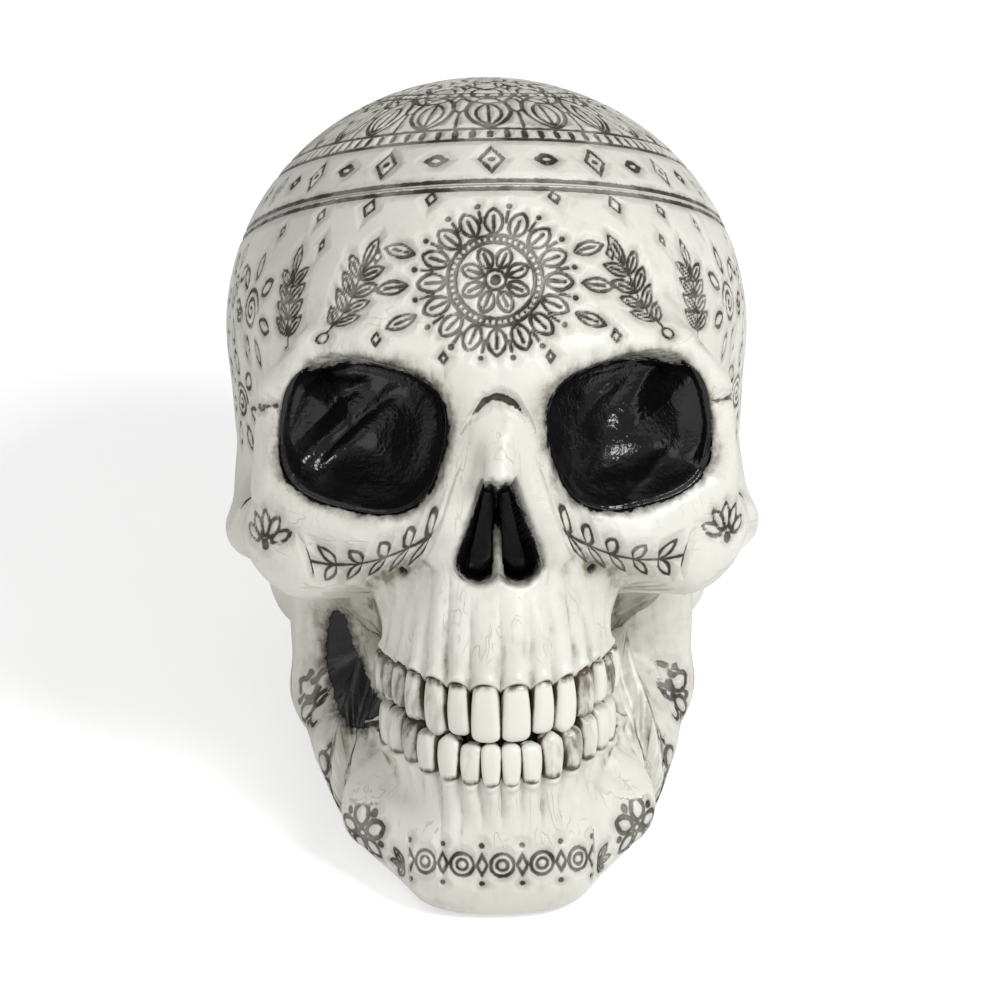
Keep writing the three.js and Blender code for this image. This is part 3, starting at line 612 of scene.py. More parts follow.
def merged(mesh):
    """Joins the points that lie together, turns every face outwards and shades the mesh smooth."""
    tidied = bmesh.new()
    tidied.from_mesh(mesh)
    bmesh.ops.remove_doubles(tidied, verts=tidied.verts, dist=1e-6)
    bmesh.ops.recalc_face_normals(tidied, faces=tidied.faces)
    tidied.to_mesh(mesh)
    tidied.free()
    mesh.shade_smooth()


def dressed(mesh, material, replaced):
    """Makes a mesh a piece of the skull, in place of the solids that it stands for."""
    piece = bpy.data.objects.new(mesh.name, mesh)
    bpy.context.scene.collection.objects.link(piece)
    mesh.materials.append(material)
    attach(piece, "root")
    if replaced:
        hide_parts(*replaced)


# Ornament: each function gives the distance to the nearest line of a shape that is engraved in a moulding.
# The grooves are a millimetre or so wide and half a millimetre deep, and hold the wash.
GROOVE_DEPTH = 0.0050


def line(u, v, start, end):
    """Distance to a straight line between two points."""
    along = (end[0] - start[0], end[1] - start[1])
    shared = (u - start[0]) * along[0] + (v - start[1]) * along[1]
    t = np.clip(shared / (along[0] ** 2 + along[1] ** 2), 0, 1)
    return np.hypot(u - start[0] - t * along[0], v - start[1] - t * along[1])


def circle(u, v, radius):
    """Distance to a circle round the middle."""
    return np.abs(np.hypot(u, v) - radius)


def dot(u, v, radius):
    """Distance to a filled disc, nought inside it."""
    return np.maximum(np.hypot(u, v) - radius, 0)


def leaf(u, v, length, width):
    """Distance to the outline of a pointed leaf that stands on the middle: two arcs that meet at its ends."""
    radius = (length**2 + width**2) / (4 * width)
    return np.abs(np.hypot(np.abs(u) + radius - width / 2, v - length / 2) - radius)


def veined_leaf(u, v, length, width):
    """A leaf with its middle vein."""
    return np.minimum(leaf(u, v, length, width), line(u, v, (0, 0.12 * length), (0, 0.72 * length)))


def lozenge(u, v, half_width, half_height):
    """Distance to the outline of a lozenge."""
    slope = 1 / np.hypot(1 / half_width, 1 / half_height)
    return np.abs(np.abs(u) / half_width + np.abs(v) / half_height - 1) * slope


def folded(u, v, count, phase=0.0):
    """The same point seen from the nearest of a number of spokes, which becomes the upright axis."""
    turn = np.arctan2(u, v) + phase
    step = 2 * np.pi / count
    turn = np.mod(turn + step / 2, step) - step / 2
    reach = np.hypot(u, v)
    return reach * np.sin(turn), reach * np.cos(turn)


def turned(u, v, angle):
    """The point's place in axes turned by an angle in degrees."""
    c, s = np.cos(np.radians(angle)), np.sin(np.radians(angle))
    return c * u - s * v, s * u + c * v


def volute(u, v, radius, turns, edge):
    """Distance to a spiral of even pitch that winds out from the middle to a radius. Past an edge it is 1."""
    pitch = radius / turns
    reach = np.hypot(u, v)
    phase = np.arctan2(v, u) / (2 * np.pi)
    nearest = np.clip(np.round(reach / pitch - phase), 0, turns - 1)
    return np.where(reach < edge, np.abs(reach - pitch * (phase + nearest)), 1)


def sprig(u, v, length, pairs, leaf_length):
    """Distance to a stem on the upright axis with slanted leaves in pairs and one leaf at its tip."""
    gap = line(u, v, (0, 0), (0, length))
    gap = np.minimum(gap, veined_leaf(u, v - length, leaf_length * 1.15, leaf_length * 0.42))
    for place in np.linspace(0.12, 0.86, pairs) * length:
        across, up = turned(np.abs(u), v - place, 52)
        gap = np.minimum(gap, veined_leaf(across, up, leaf_length, leaf_length * 0.38))
    return gap


def engrave(grid, gap, width):
    """Cuts a groove where the gap is under half its width, with sloping sides, and marks it for the wash."""
    cut = 1 - smooth_step(0.05 * width, 0.85 * width, gap)
    grid.lift = np.minimum(grid.lift, -GROOVE_DEPTH * cut)
    grid.ink = np.minimum(grid.ink, np.minimum(gap - width * 0.5, INK_REACH))


def engrave_round(grid, u, v, rings):
    """Engraves rings of one shape each, which stand outwards at even steps round the middle. A ring is the
    shape, how many there are, whether they start half a step on, how far out they stand, their sizes and the
    width of their groove."""
    for shape, count, between, reach, sizes, width in rings:
        around_u, around_v = folded(u, v, count, between * np.pi / count)
        engrave(grid, shape(around_u, around_v - reach, *sizes), width)


def settled(grid, rows, columns, shallow, deep):
    """Stain that settles in hollows: where the skin lies deeper than its own surroundings."""
    level = blurred(grid.reach, rows, columns, grid.all_round)
    facing = np.abs((grid.outward * grid.ray).sum(2))
    return smooth_step(shallow, deep, level - grid.reach) * smooth_step(0.25, 0.55, facing)


# Crown: the top of the head, closed on the face and the back by a level seam under its headband.
# It is engraved all over, with a sparse headband below rings of beads, pointed leaves and scallops.
def spaced(count, middle_weight):
    """Even steps from -1 to 1, drawn together in the middle."""
    t = np.linspace(-1, 1, count)
    return middle_weight * t + (1 - middle_weight) * t**3


HALF_SEAM = 0.0021
crown_angles = np.pi * spaced(461 // COARSE, 0.72)[:-1]
crown = Moulding(crown_angles, lambda a: CROWN_SEAM + HALF_SEAM + 0 * a, lambda a: RING_TOP - 0.004 + 0 * a,
                 np.linspace(0, 1, 190 // COARSE), True)
rise = crown.down[:1] - crown.down
girth = RING_SCALE * np.cos(np.maximum(crown.ring - CROWN_SEAM, 0) / RING_SCALE)


def spokes(count, phase=0.0):
    """Distance round the crown from the nearest of a number of evenly placed spokes, at its own girth."""
    step = 2 * np.pi / count
    return (np.mod(crown.angle + phase + step / 2, step) - step / 2) * girth


# Lines all round it, as height and width, and rows of one shape, as the shape, how many there are, whether
# they start half a step on, their height, their sizes and the width of their groove.
CROWN_LINES = [(0.012, 0.016), (0.182, 0.016), (0.238, 0.014), (0.482, 0.016), (0.520, 0.016), (0.720, 0.016)]
CROWN_ROWS = [
    (lozenge, 15, 0, 0.095, (0.030, 0.048), 0.012),
    (dot, 15, 0, 0.095, (0.006,), 0.010),
    (circle, 15, 1, 0.095, (0.020,), 0.012),
    (leaf, 20, 0, 0.245, (0.225, 0.150), 0.016),
    (leaf, 20, 0, 0.262, (0.150, 0.085), 0.013),
    (line, 20, 0, 0, ((0, 0.262), (0, 0.400)), 0.012),
    (leaf, 20, 1, 0.345, (0.120, 0.060), 0.013),
    (line, 20, 1, 0, ((0, 0.25), (0, 0.345)), 0.012),
    (dot, 60, 0, 0.501, (0.007,), 0.010),
    (circle, 16, 0, 0.520, (0.105,), 0.016),
    (circle, 16, 0, 0.520, (0.062,), 0.013),
    (leaf, 16, 1, 0.570, (0.130, 0.052), 0.013),
]
for height, width in CROWN_LINES:
    engrave(crown, np.abs(rise - height), width)
for shape, count, between, height, sizes, width in CROWN_ROWS:
    engrave(crown, shape(spokes(count, between * np.pi / count), rise - height, *sizes), width)
for side in (-1, 1):
    small_u, small_v = turned(spokes(15, np.pi / 15) - side * 0.022, rise - 0.095, -90 * side)
    engrave(crown, leaf(small_u, small_v, 0.052, 0.024), 0.011)
engrave(crown, np.maximum(np.abs(rise - 0.210) - 0.014, 0) + dot(spokes(84), 0, 0.004), 0.012)
top_u, top_v = crown.down * np.sin(crown.angle), crown.down * np.cos(crown.angle)
engrave_round(crown, top_u, top_v, [(leaf, 12, 0, 0, (0.30, 0.115), 0.016),
                                    (leaf, 12, 0, 0, (0.17, 0.060), 0.013)])
engrave(crown, circle(top_u, top_v, 0.035), 0.014)
blotched = 0.15 + 0.60 * smooth_step(0.3, 0.7, clouds(crown.place, 0.07, 11))
crown.stain = np.maximum(crown.stain, smooth_step(0.20, 0.25, rise) * blotched)
crown.stain = np.maximum(crown.stain, 0.30 * smooth_step(0.45, 0.8, clouds(crown.place, 0.20, 3)))
dressed(closed_body("crown", crown), bone_plastic, ["crown_shell"])


# Face: forehead, eye sockets, nose, cheeks and the upper jaw, from the crown's seam down to the bite.
# Seams run down its sides, behind the cheek arches. The artwork is a rosette between leafy sprigs.
SEAM_ANGLE = np.radians(104)
SEAM_HALF_ANGLE = 0.003
TOOTH_LINE = -0.553
ROW_HALF_WIDTH = 0.31
ROW_HALF_LENGTH = 0.392
JAW_LINE = [(0.31, -0.50, -0.55), (0.335, -0.44, -0.44), (0.38, -0.39, -0.27), (0.46, -0.36, -0.19),
            (0.52, -0.25, -0.16), (0.54, -0.10, -0.14), (0.54, 0.04, -0.12)]


def place_of(points):
    """Angle round the axis and ring number of points."""
    offset = points - AXIS_LOW
    up, front = offset @ AXIS_UP, offset @ AXIS_FRONT
    ring = np.where(up < 0, RING_SCALE * np.arctan2(up, np.hypot(offset[..., 0], front)), up)
    return np.arctan2(offset[..., 0], front), ring


bite_turn = np.linspace(0, np.pi / 2, 9)
bite = np.stack([np.sin(bite_turn) * ROW_HALF_WIDTH, ROW_BACK - np.cos(bite_turn) * ROW_HALF_LENGTH,
                 np.full(9, TOOTH_LINE)], -1)
seam_angles, seam_rings = place_of(np.concatenate([bite, np.array(JAW_LINE)]))


def jaw_seam(shift):
    """Edge along the bite, up in front of the jaw's branch and back under the cheek arch, with a shift."""
    def edge(angles):
        step = np.radians(1)
        ring = np.interp(np.abs(angles), seam_angles, seam_rings)
        climb = (np.interp(np.abs(angles + step), seam_angles, seam_rings)
                 - np.interp(np.abs(angles - step), seam_angles, seam_rings)) / step
        return ring + shift * 1.4 * np.hypot(1, climb)
    return edge


def uneven(low, middle, high, low_count, high_count):
    """Rows between nought and one, with one count below a level and another above it."""
    below = np.linspace(low, middle, low_count // COARSE)
    above = np.linspace(middle, high, high_count // COARSE)
    return np.concatenate([below, above[1:]])


face_angles = (SEAM_ANGLE - SEAM_HALF_ANGLE) * spaced(411 // COARSE, 0.64)
face = Moulding(face_angles, jaw_seam(HALF_SEAM), lambda a: CROWN_SEAM - HALF_SEAM + 0 * a,
                uneven(0, 0.62, 1, 112, 104), False)
off_the_bite = smooth_step(0, 0.05, np.linspace(0, 1, len(face.ring)))[:, None]
face.evened(face.grazed(-0.62, (0.008, 0.018)) * off_the_bite)
x, y, z = np.moveaxis(face.place, -1, 0)
lateral = np.abs(x)

# The rosette in the middle of the forehead: a ringed centre, eight petals, a notched ring and sixteen petals.
u, v = face.flat(face.nearest(0, 0.705))
engrave(face, dot(u, v, 0.010), 0.010)
for radius, width in ((0.026, 0.010), (0.100, 0.011), (0.120, 0.011)):
    engrave(face, circle(u, v, radius), width)
engrave_round(face, u, v, [
    (veined_leaf, 8, 1, 0.032, (0.058, 0.036), 0.010),
    (line, 44, 0, 0, ((0, 0.104), (0, 0.117)), 0.0085),
    (veined_leaf, 16, 0, 0.124, (0.072, 0.045), 0.010),
    (line, 16, 1, 0, ((0, 0.160), (0, 0.190)), 0.0095),
    (dot, 16, 1, 0.206, (0.004,), 0.009),
])
for turn, reach in ((90, 0.222), (68, 0.218), (112, 0.218)):
    leaf_u, leaf_v = turned(np.abs(u), v, turn)
    engrave(face, veined_leaf(leaf_u, leaf_v - reach, 0.078, 0.034), 0.0095)

# Sprigs to both sides of it, as angle, ring, turn and length, with small lozenges strewn between them, as
# angle, ring and size. Scrolls on the temples, as angle, ring, size and turns. A fan on each cheekbone.
FOREHEAD_SPRIGS = [(29.5, 0.595, -10, 0.180), (44.0, 0.590, 12, 0.170)]
STREWN_LOZENGES = [(12, 0.925, 0.014), (25, 0.915, 0.018), (21.5, 0.78, 0.012), (38, 0.915, 0.014),
                   (20, 0.560, 0.012), (35.5, 0.83, 0.010), (37, 0.565, 0.011), (52, 0.90, 0.012),
                   (9, 0.505, 0.010)]
TEMPLE_SCROLLS = [(62, 0.70, 0.072, 3), (82, 0.49, 0.062, 3), (81, 0.78, 0.062, 3), (97, 0.64, 0.045, 2)]
FAN_PLACE = (49, 0.075)
for half in (-1, 1):
    for angle, ring, turn, length in FOREHEAD_SPRIGS:
        u, v = face.flat(face.nearest(half * angle, ring), turn)
        engrave(face, sprig(u, v, length, 4, 0.074), 0.009)
        engrave(face, circle(u, v + 0.024, 0.016), 0.0085)
    for angle, ring, size in STREWN_LOZENGES:
        u, v = face.flat(face.nearest(half * angle, ring))
        engrave(face, lozenge(u, v, size, size * 1.4), 0.009)
    for angle, ring, radius, turns in TEMPLE_SCROLLS:
        u, v = face.flat(face.nearest(half * angle, ring))
        engrave(face, volute(u, v, radius, turns, radius * 1.05), 0.012)
        engrave_round(face, u, v, [(leaf, 7, 0, radius * 1.15, (0.068, 0.034), 0.0115)])
    for turn in (-64, -32, 0, 32, 64):
        u, v = face.flat(face.nearest(half * FAN_PLACE[0], FAN_PLACE[1]), turn)
        engrave(face, leaf(u, v - 0.022, 0.068, 0.028), 0.0105)
    engrave(face, dot(u, v, 0.010), 0.011)

# Under each eye a leafy garland hangs from the side of the nose to the cheekbone, on one even curve. The
# distances along it and off it go to the material, which draws its leaves.
GARLAND_LOW, GARLAND_CURVE, GARLAND_MIDDLE = -0.108, 1.9, 0.40
curve_x = np.linspace(0.17, 0.49, 81)
curve_slope = 2 * GARLAND_CURVE * (curve_x - GARLAND_MIDDLE)
curve_along = np.concatenate([[0], np.cumsum(np.hypot(1, curve_slope)[1:] * np.diff(curve_x))])
slope = 2 * GARLAND_CURVE * (lateral - GARLAND_MIDDLE)
off = (z - GARLAND_LOW - GARLAND_CURVE * (lateral - GARLAND_MIDDLE) ** 2) / np.hypot(1, slope)
foot = lateral - off * slope / np.hypot(1, slope)
past_ends = np.minimum(foot - curve_x[0], 0), np.maximum(foot - curve_x[-1], 0)
face.along = np.where(y < -0.45, np.interp(foot, curve_x, curve_along) + past_ends[0] + past_ends[1], 9)
face.off = np.clip(off, -1, 1)

# Seams between the bones, with the jagged arch over the nose, and a small pit under each socket.
jag = 0.040 * (clouds(face.place, 0.024, 71) - 0.5)
arch = np.abs(z - 0.345 + 0.075 * (x / 0.087) ** 2 + 0.6 * jag)
arch = arch + 0.018 * smooth_step(0.040, 0.095, lateral)
engrave(face, np.where((lateral < 0.095) & (y < -0.7), arch, 1), 0.022)
engrave(face, np.where((lateral > 0.545) & (y < -0.58), np.abs(z - 0.30 + jag), 1), 0.011)
engrave(face, np.abs(face.down - 0.010), 0.016)
pit = np.where(y < -0.6, np.hypot(lateral - 0.245, z + 0.135), 1)
face.lift = np.minimum(face.lift, -0.022 * (1 - smooth_step(0.004, 0.020, pit)))
face.dark = np.maximum(face.dark, 1 - smooth_step(0.006, 0.016, pit))


# Roots and gum lines: the bone swells over every root, and ends at each tooth's neck in a scalloped edge.
UPPER_WIDTHS = np.array([0.082, 0.066, 0.074, 0.066, 0.064, 0.088, 0.085])
LOWER_WIDTHS = np.array([0.056, 0.060, 0.068, 0.068, 0.068, 0.098, 0.093])
TOOTH_HALF_WIDTH = 0.300
TOOTH_HALF_LENGTH = 0.380
row_turn = np.linspace(0, np.pi / 2, 241)
row_step = np.hypot(TOOTH_HALF_WIDTH * np.cos(row_turn), TOOTH_HALF_LENGTH * np.sin(row_turn))
row_length = np.concatenate([[0], np.cumsum((row_step[1:] + row_step[:-1]) / 2 * np.diff(row_turn))])


def along_row(x, y):
    """Distance along a tooth row from its middle: the oval's own length in front, then straight back."""
    turn = np.arctan2(np.abs(x) / TOOTH_HALF_WIDTH, np.maximum(ROW_BACK - y, 0) / TOOTH_HALF_LENGTH)
    return np.interp(turn, row_turn, row_length) + np.maximum(y - ROW_BACK, 0)


def smile(row):
    """How far the bite climbs towards the sides."""
    return np.minimum(0.55 * row**2, 0.055)


def upper_neck(row):
    """Height of the necks of the upper teeth."""
    return -0.412 + 0.45 * smile(row)


def lower_neck(row):
    """Height of the necks of the lower teeth."""
    return -0.632 + 0.80 * smile(row)


def gum(grid, widths, neck, scallop, root, upward):
    """Swells the bone over the roots, rounds its edge off at the necks and sets it back between the teeth."""
    x, y, z = np.moveaxis(grid.place, -1, 0)
    edges = np.concatenate([[0], np.cumsum(widths)])
    row = along_row(x, y)
    tooth = np.clip(np.searchsorted(edges, row, side="right") - 1, 0, len(widths) - 1)
    across = np.clip((row - edges[tooth]) / widths[tooth] * 2 - 1, -1, 1)
    height = (z - neck(row)) * upward
    edge = height - scallop * (1 - across**2)
    in_row = (y < -0.36) & (np.abs(x) < 0.40)
    reach = root * np.where(tooth == 2, 1.45, np.where(tooth > 2, 0.8, 1.0))
    ridge = np.cos(np.pi * across / 2) ** 0.7
    share = smooth_step(-0.01, 0.02, edge) * (1 - smooth_step(0.30, 1.0, height / reach))
    lip = np.exp(-(((edge - 0.012) / 0.012) ** 2))
    behind = smooth_step(edges[-1] + 0.004, edges[-1] + 0.030, row)
    back = (1 - smooth_step(-0.010, 0.003, edge)) * (1 - behind)
    lift = 0.017 * (ridge - 0.45) * share + 0.011 * lip * ridge - 0.026 * back
    grid.lift = np.where(in_row, grid.lift + lift, grid.lift)
    streaks = clouds(np.stack([x * 3, y * 3, z * 0.45], -1), 0.045, 21)
    valley = smooth_step(0.45, 1.0, np.abs(across)) * share * (1 - smooth_step(0.1, 0.9, height / reach))
    dirt = valley * smooth_step(0.25, 0.65, streaks) + 0.30 * share * smooth_step(0.50, 0.75, streaks)
    grid.stain = np.where(in_row, np.maximum(grid.stain, dirt), grid.stain)
    gap = np.maximum(back, 0.8 * np.exp(-(((edge + 0.001) / 0.007) ** 2)) * (1 - behind))
    grid.dark = np.where(in_row, np.maximum(grid.dark, gap), grid.dark)


gum(face, UPPER_WIDTHS, upper_neck, 0.021, 0.28, 1)


# Lacquer and wash: black gloss in the sockets and the nose, with brown brush marks round them, and dirt in
# every hollow. Their outlines are set as they show from the front. The pits behind the upper teeth also get
# painted shade: heavier smears and black on the left, away from the lamp, partly real paint and partly
# painted shade, and a painted shadow on the right.
FRONT_VIEW_SLOPE = np.tan(np.radians(11))
FRONT_VIEW_TAPER = 0.083


def shown(x, y, z):
    """Distances to the side and up at which a place shows in front, on the plane of the sockets' middles."""
    recede = y - SOCKET_CENTRE[1]
    return x * (1 - FRONT_VIEW_TAPER * recede), z + FRONT_VIEW_SLOPE * recede


def deep_dirt_and_shade(grid):
    """Stain that settled in the hollows of a moulding, in broad smudges and beside the tooth rows, and
    painted
    shade in the pits behind the upper teeth: heavier on the left, away from the lamp, and a shadow on the
    right.
    """
    x, y, z = np.moveaxis(grid.place, -1, 0)
    sunk = -bone(mirrored(x, y, z))
    fine = settled(grid, 4 // COARSE, 6 // COARSE, 0.002, 0.016)
    broad = settled(grid, 14 // COARSE, 20 // COARSE, 0.006, 0.050)
    mottled = smooth_step(0.45, 0.75, clouds(grid.place, 0.20, 3))
    mottled = mottled * smooth_step(0.3, 0.7, clouds(grid.place, 0.05, 8))
    low = smooth_step(0.02, 0.09, sunk) * smooth_step(-0.14, -0.20, z) * smooth_step(0.52, 0.46, np.abs(x))
    front_x, front_z = shown(x, y, z)
    flat = (np.abs(front_x), 0 * y, front_z)
    pit = rib(flat, [(0.395, 0, -0.235), (0.380, 0, -0.36), (0.345, 0, -0.475)], [0.018, 0.042, 0.052])
    behind = (y > -0.62) & (np.abs(x) > 0.25) & (z < -0.12)
    streaky = clouds(np.stack([x, y * 0.5, z * 3], -1), 0.06, 41)
    # Weighted heavier on the left, away from the lamp, and lighter on the lit right: partly painted shade.
    dirt_and_shade = behind * np.where(x < 0, 1, 0.35)
    smear = np.exp(-((np.maximum(pit, 0) / 0.055) ** 2)) * (0.5 + 0.9 * streaky) * dirt_and_shade
    branch = dirt_and_shade * smooth_step(0.10, 0.02, pit) * smooth_step(0.40, 0.62, streaky)
    layers = 0.85 * fine + 0.40 * broad, 0.40 * mottled, 0.30 * low, smear, 0.55 * branch
    grid.stain = np.maximum.reduce([grid.stain, *layers])
    # Black lacquer in the left pit only: partly real paint, partly painted shade on the side away from the
    # lamp.
    painted, bare = behind & (x < 0), behind & (x > 0)
    grid.lacquer = np.where(painted, np.maximum(grid.lacquer, np.minimum(-pit, 0.25)), grid.lacquer)
    # Painted shadow: the right pit, shaded by the cheek above it, is darkened in the wash colour.
    shadow = 0.35 * smooth_step(0.01, -0.03, pit) * streaky
    grid.dark = np.where(bare, np.maximum(grid.dark, shadow), grid.dark)


deep_dirt_and_shade(face)
view_x, view_z = shown(lateral, y, z)
on_plane = SOCKET_CENTRE[1] + SOCKET_SWEEP * (view_x - SOCKET_CENTRE[0])
outline = eye_socket((view_x, on_plane, view_z)) - 0.005
in_front = (y < -0.30) & (z > -0.12) & (eye_socket(mirrored(x, y, z)) < 0.05)
face.lacquer = np.where(in_front, np.maximum(face.lacquer, -outline), face.lacquer)
face.lift = np.where(in_front & (outline < 0), -0.04 * smooth_step(-0.02, -0.06, outline), face.lift)
face.ink = np.where(in_front & (outline < 0.004), INK_REACH, face.ink)
brush = np.exp(-((np.maximum(outline, 0) / 0.034) ** 2)) * (y < -0.5)
face.stain = np.maximum(face.stain, brush * (0.35 + 0.50 * smooth_step(0.05, 0.30, z)))
plate = rib(mirrored(x, y, z), *NOSE_PLATE)
view_height = z + FRONT_VIEW_SLOPE * np.maximum(y + 0.86, -0.05)
nostrils = rod((lateral, 0 * y, view_height), (0.052, 0, -0.086), (0.012, 0, 0.108), 0.054, 0.022)
in_nose = (nostrils < 0.05) & (y < -0.60) & (lateral < 0.15)
bare_plate = np.maximum(plate - 0.005, z + 0.5 * plate + 0.012)
face.lacquer = np.where(in_nose, np.minimum(-nostrils, bare_plate), face.lacquer)
face.dark = np.where(in_nose, 0, face.dark)
face.stain = np.where(in_nose & (plate < 0.012), 0.25 * face.stain, face.stain)

# Fine cuts: short wrinkles round the sockets, over the brow, down the nose, on the cheekbones and the roots.
near_rim = np.exp(-((np.maximum(outline - 0.03, 0) / 0.05) ** 2)) * (y < -0.45)
nose_sides = smooth_step(0.16, 0.10, lateral) * smooth_step(-0.02, 0.04, z) * smooth_step(0.40, 0.32, z)
over_roots = smooth_step(-0.36, -0.30, z) * smooth_step(-0.06, -0.14, z) * smooth_step(0.42, 0.34, lateral)
face.upright = np.clip(np.maximum(nose_sides, over_roots) * (y < -0.35) + 0.5 * near_rim, 0, 1)
cheekbone = smooth_step(0.24, 0.34, lateral) * smooth_step(-0.24, -0.18, z) * smooth_step(0.06, 0.0, z)
brow = smooth_step(0.05, 0.12, lateral) * smooth_step(0.42, 0.46, z) * smooth_step(0.62, 0.54, z)
face.level = np.clip(np.maximum(cheekbone, 0.7 * brow) * (y < -0.35) + 0.5 * near_rim, 0, 1)
dressed(closed_body("face", face), bone_plastic, ["face_shell"])


# Socket linings: the thick gloss lacquer that lies in each eye socket, wrinkled where it pooled at the back.
# Each is a thin bowl on the socket's own wall, from its rim to the middle of its back.
def lacquer_material():
    """Black gloss lacquer with a slightly uneven skin."""
    material, shader, place = new_material("socket_lacquer", IOR=1.46)
    uneven_skin = place.noise(240.0, 4.0)
    speck = place.noise(900.0, 2.0)
    speck.between(0.62, 0.80).shade(LACQUER_BLACK, (0.016, 0.014, 0.011, 1)).feeds(shader, "Base Color")
    (0.09 + 0.16 * uneven_skin).feeds(shader, "Roughness")
    (uneven_skin + 0.2 * speck).raises(shader, 0.6, 0.0009)
    return material


around = np.linspace(0, 2 * np.pi, 181 // COARSE)[:-1]
share = np.linspace(1, 0, 100 // COARSE)[:, None]
rim_reach = (np.abs(np.cos(around) / SOCKET_RADII[0]) ** SQUARENESS
             + np.abs(np.sin(around) / SOCKET_RADII[2]) ** SQUARENESS) ** (-1 / SQUARENESS)
outer_corner = np.maximum(np.cos(around - 0.38), 0) ** 8
rim_reach = rim_reach * (1 + 0.12 * outer_corner * smooth_step(0.90, 1, share))
across, up = share * rim_reach * np.cos(around), share * rim_reach * np.sin(around)
front_x = SOCKET_CENTRE[0] + np.cos(SOCKET_DIP) * across - np.sin(SOCKET_DIP) * up
front_z = SOCKET_CENTRE[2] + np.sin(SOCKET_DIP) * across + np.cos(SOCKET_DIP) * up


def seen_in_front(y):
    """Place that shows at the outline's own distances to the side and up, in the front view, at a depth."""
    recede = y - SOCKET_CENTRE[1]
    return front_x / (1 - FRONT_VIEW_TAPER * recede), y + 0 * front_x, front_z - FRONT_VIEW_SLOPE * recede


depths = np.linspace(-1.05, -0.45, 48)
clear = np.stack([skin(*seen_in_front(depth)) for depth in depths])
met = np.clip(np.argmax(clear < 0, axis=0), 1, len(depths) - 1)
near = np.take_along_axis(clear, met[None] - 1, 0)[0]
far = np.take_along_axis(clear, met[None], 0)[0]
wall_depth = depths[met - 1] + (depths[1] - depths[0]) * np.clip(near / np.maximum(near - far, 1e-9), 0, 1)
rim_depth = np.median([np.roll(wall_depth[1], i) for i in range(-6, 7)], axis=0)
rim_depth = np.mean([np.roll(rim_depth, i) for i in range(-6, 7)], axis=0)
bowl_depth = rim_depth + (-0.645 - rim_depth) * np.maximum(1 - share**1.7, 0)
lining_depth = smooth_min(wall_depth - 0.003 - 0.016 * smooth_step(1.0, 0.93, share), bowl_depth, 0.03)


def socket_lining(name, side):
    """The lacquer in one socket, as a bowl at shares of the socket's outline. It lies on the wall that shows
    there in front, but no deeper than a round bowl from rim to middle, and it wrinkles where it pooled."""
    x, y, z = seen_in_front(lining_depth)
    wrinkled = np.stack([x - 1.1 * z * side, 0 * y, 0.45 * z + 0.3 * x], -1)
    wrinkles = 1 - 2 * np.abs(cloud(wrinkled, 0.11, 33) - 0.5)
    lumps = cloud(np.stack([x * side, 0 * y, z], -1), 0.17, 31)
    pooled = smooth_step(1.0, 0.62, share)
    raised = blurred(pooled * (0.020 * wrinkles**2 + 0.036 * lumps), 2, 2, True)
    front = np.stack(seen_in_front(lining_depth - raised), -1)
    back = np.stack(seen_in_front(lining_depth + 0.003), -1)[::6]
    front[-1], back[-1] = front[-1].mean(0), back[-1].mean(0)
    points = np.concatenate([front.reshape(-1, 3), back.reshape(-1, 3)]) * np.array([side, 1, 1])
    a = np.arange(front.shape[0] * len(around)).reshape(-1, len(around))
    b = a.size + np.arange(back.shape[0] * len(around)).reshape(-1, len(around))
    sheets = np.concatenate([b[::-1], a])
    mesh = bpy.data.meshes.new(name)
    mesh.from_pydata(standing(points), [], quads(np.concatenate([sheets, sheets[:, :1]], 1)))
    merged(mesh)
    dressed(mesh, socket_lacquer, [])


socket_lacquer = lacquer_material()
socket_lining("left_socket_lacquer", -1)
socket_lining("right_socket_lacquer", 1)


# Rear: the back of the head, from the crown's seam down to the base opening, between the face's side seams.
# Its artwork is a band of scrolls under the crown and a large ringed rosette with scroll flowers round it.
BASE_REACH = 0.616
BASE_DROP = 0.14
BASE_RING = RING_BOTTOM + RING_SCALE * np.arctan2(BASE_DROP, BASE_REACH)


def base_edge(angles):
    """Edge of the base opening, level all round."""
    return BASE_RING + 0 * angles


def upper_edge(angles):
    """Edge under the crown's seam, level all round."""
    return CROWN_SEAM - HALF_SEAM + 0 * angles


rear_half = np.pi - SEAM_ANGLE - SEAM_HALF_ANGLE
rear = Moulding(np.pi + rear_half * np.linspace(-1, 1, 221 // COARSE), base_edge, upper_edge,
                np.linspace(0, 1, 260 // COARSE), False)
u, v = rear.across, rear.down
for height, width in ((0.012, 0.016), (0.150, 0.014)):
    engrave(rear, np.abs(v - height), width)
engrave(rear, dot(np.mod(u + 0.04, 0.08) - 0.04, v - 0.172, 0.006), 0.010)
cell = np.mod(u + 0.09, 0.18) - 0.09
engrave(rear, volute(cell, v - 0.082, 0.050, 2, 0.052), 0.011)
engrave(rear, leaf(np.abs(cell) - 0.09, v - 0.055, 0.060, 0.026), 0.010)
u, v = rear.flat(rear.nearest(180, 0.42))
engrave(rear, dot(u, v, 0.016), 0.012)
for radius in (0.040, 0.172, 0.198):
    engrave(rear, circle(u, v, radius), 0.012)
engrave_round(rear, u, v, [
    (veined_leaf, 10, 0, 0.048, (0.110, 0.060), 0.012),
    (dot, 36, 0, 0.185, (0.005,), 0.009),
    (veined_leaf, 20, 0, 0.206, (0.105, 0.058), 0.012),
])
for angle, ring in ((132, 0.58), (228, 0.58), (138, 0.16), (222, 0.16), (180, -0.10)):
    u, v = rear.flat(rear.nearest(angle, ring))
    engrave(rear, volute(u, v, 0.080, 3, 0.085), 0.012)
    engrave_round(rear, u, v, [(leaf, 8, 0, 0.095, (0.076, 0.038), 0.012)])
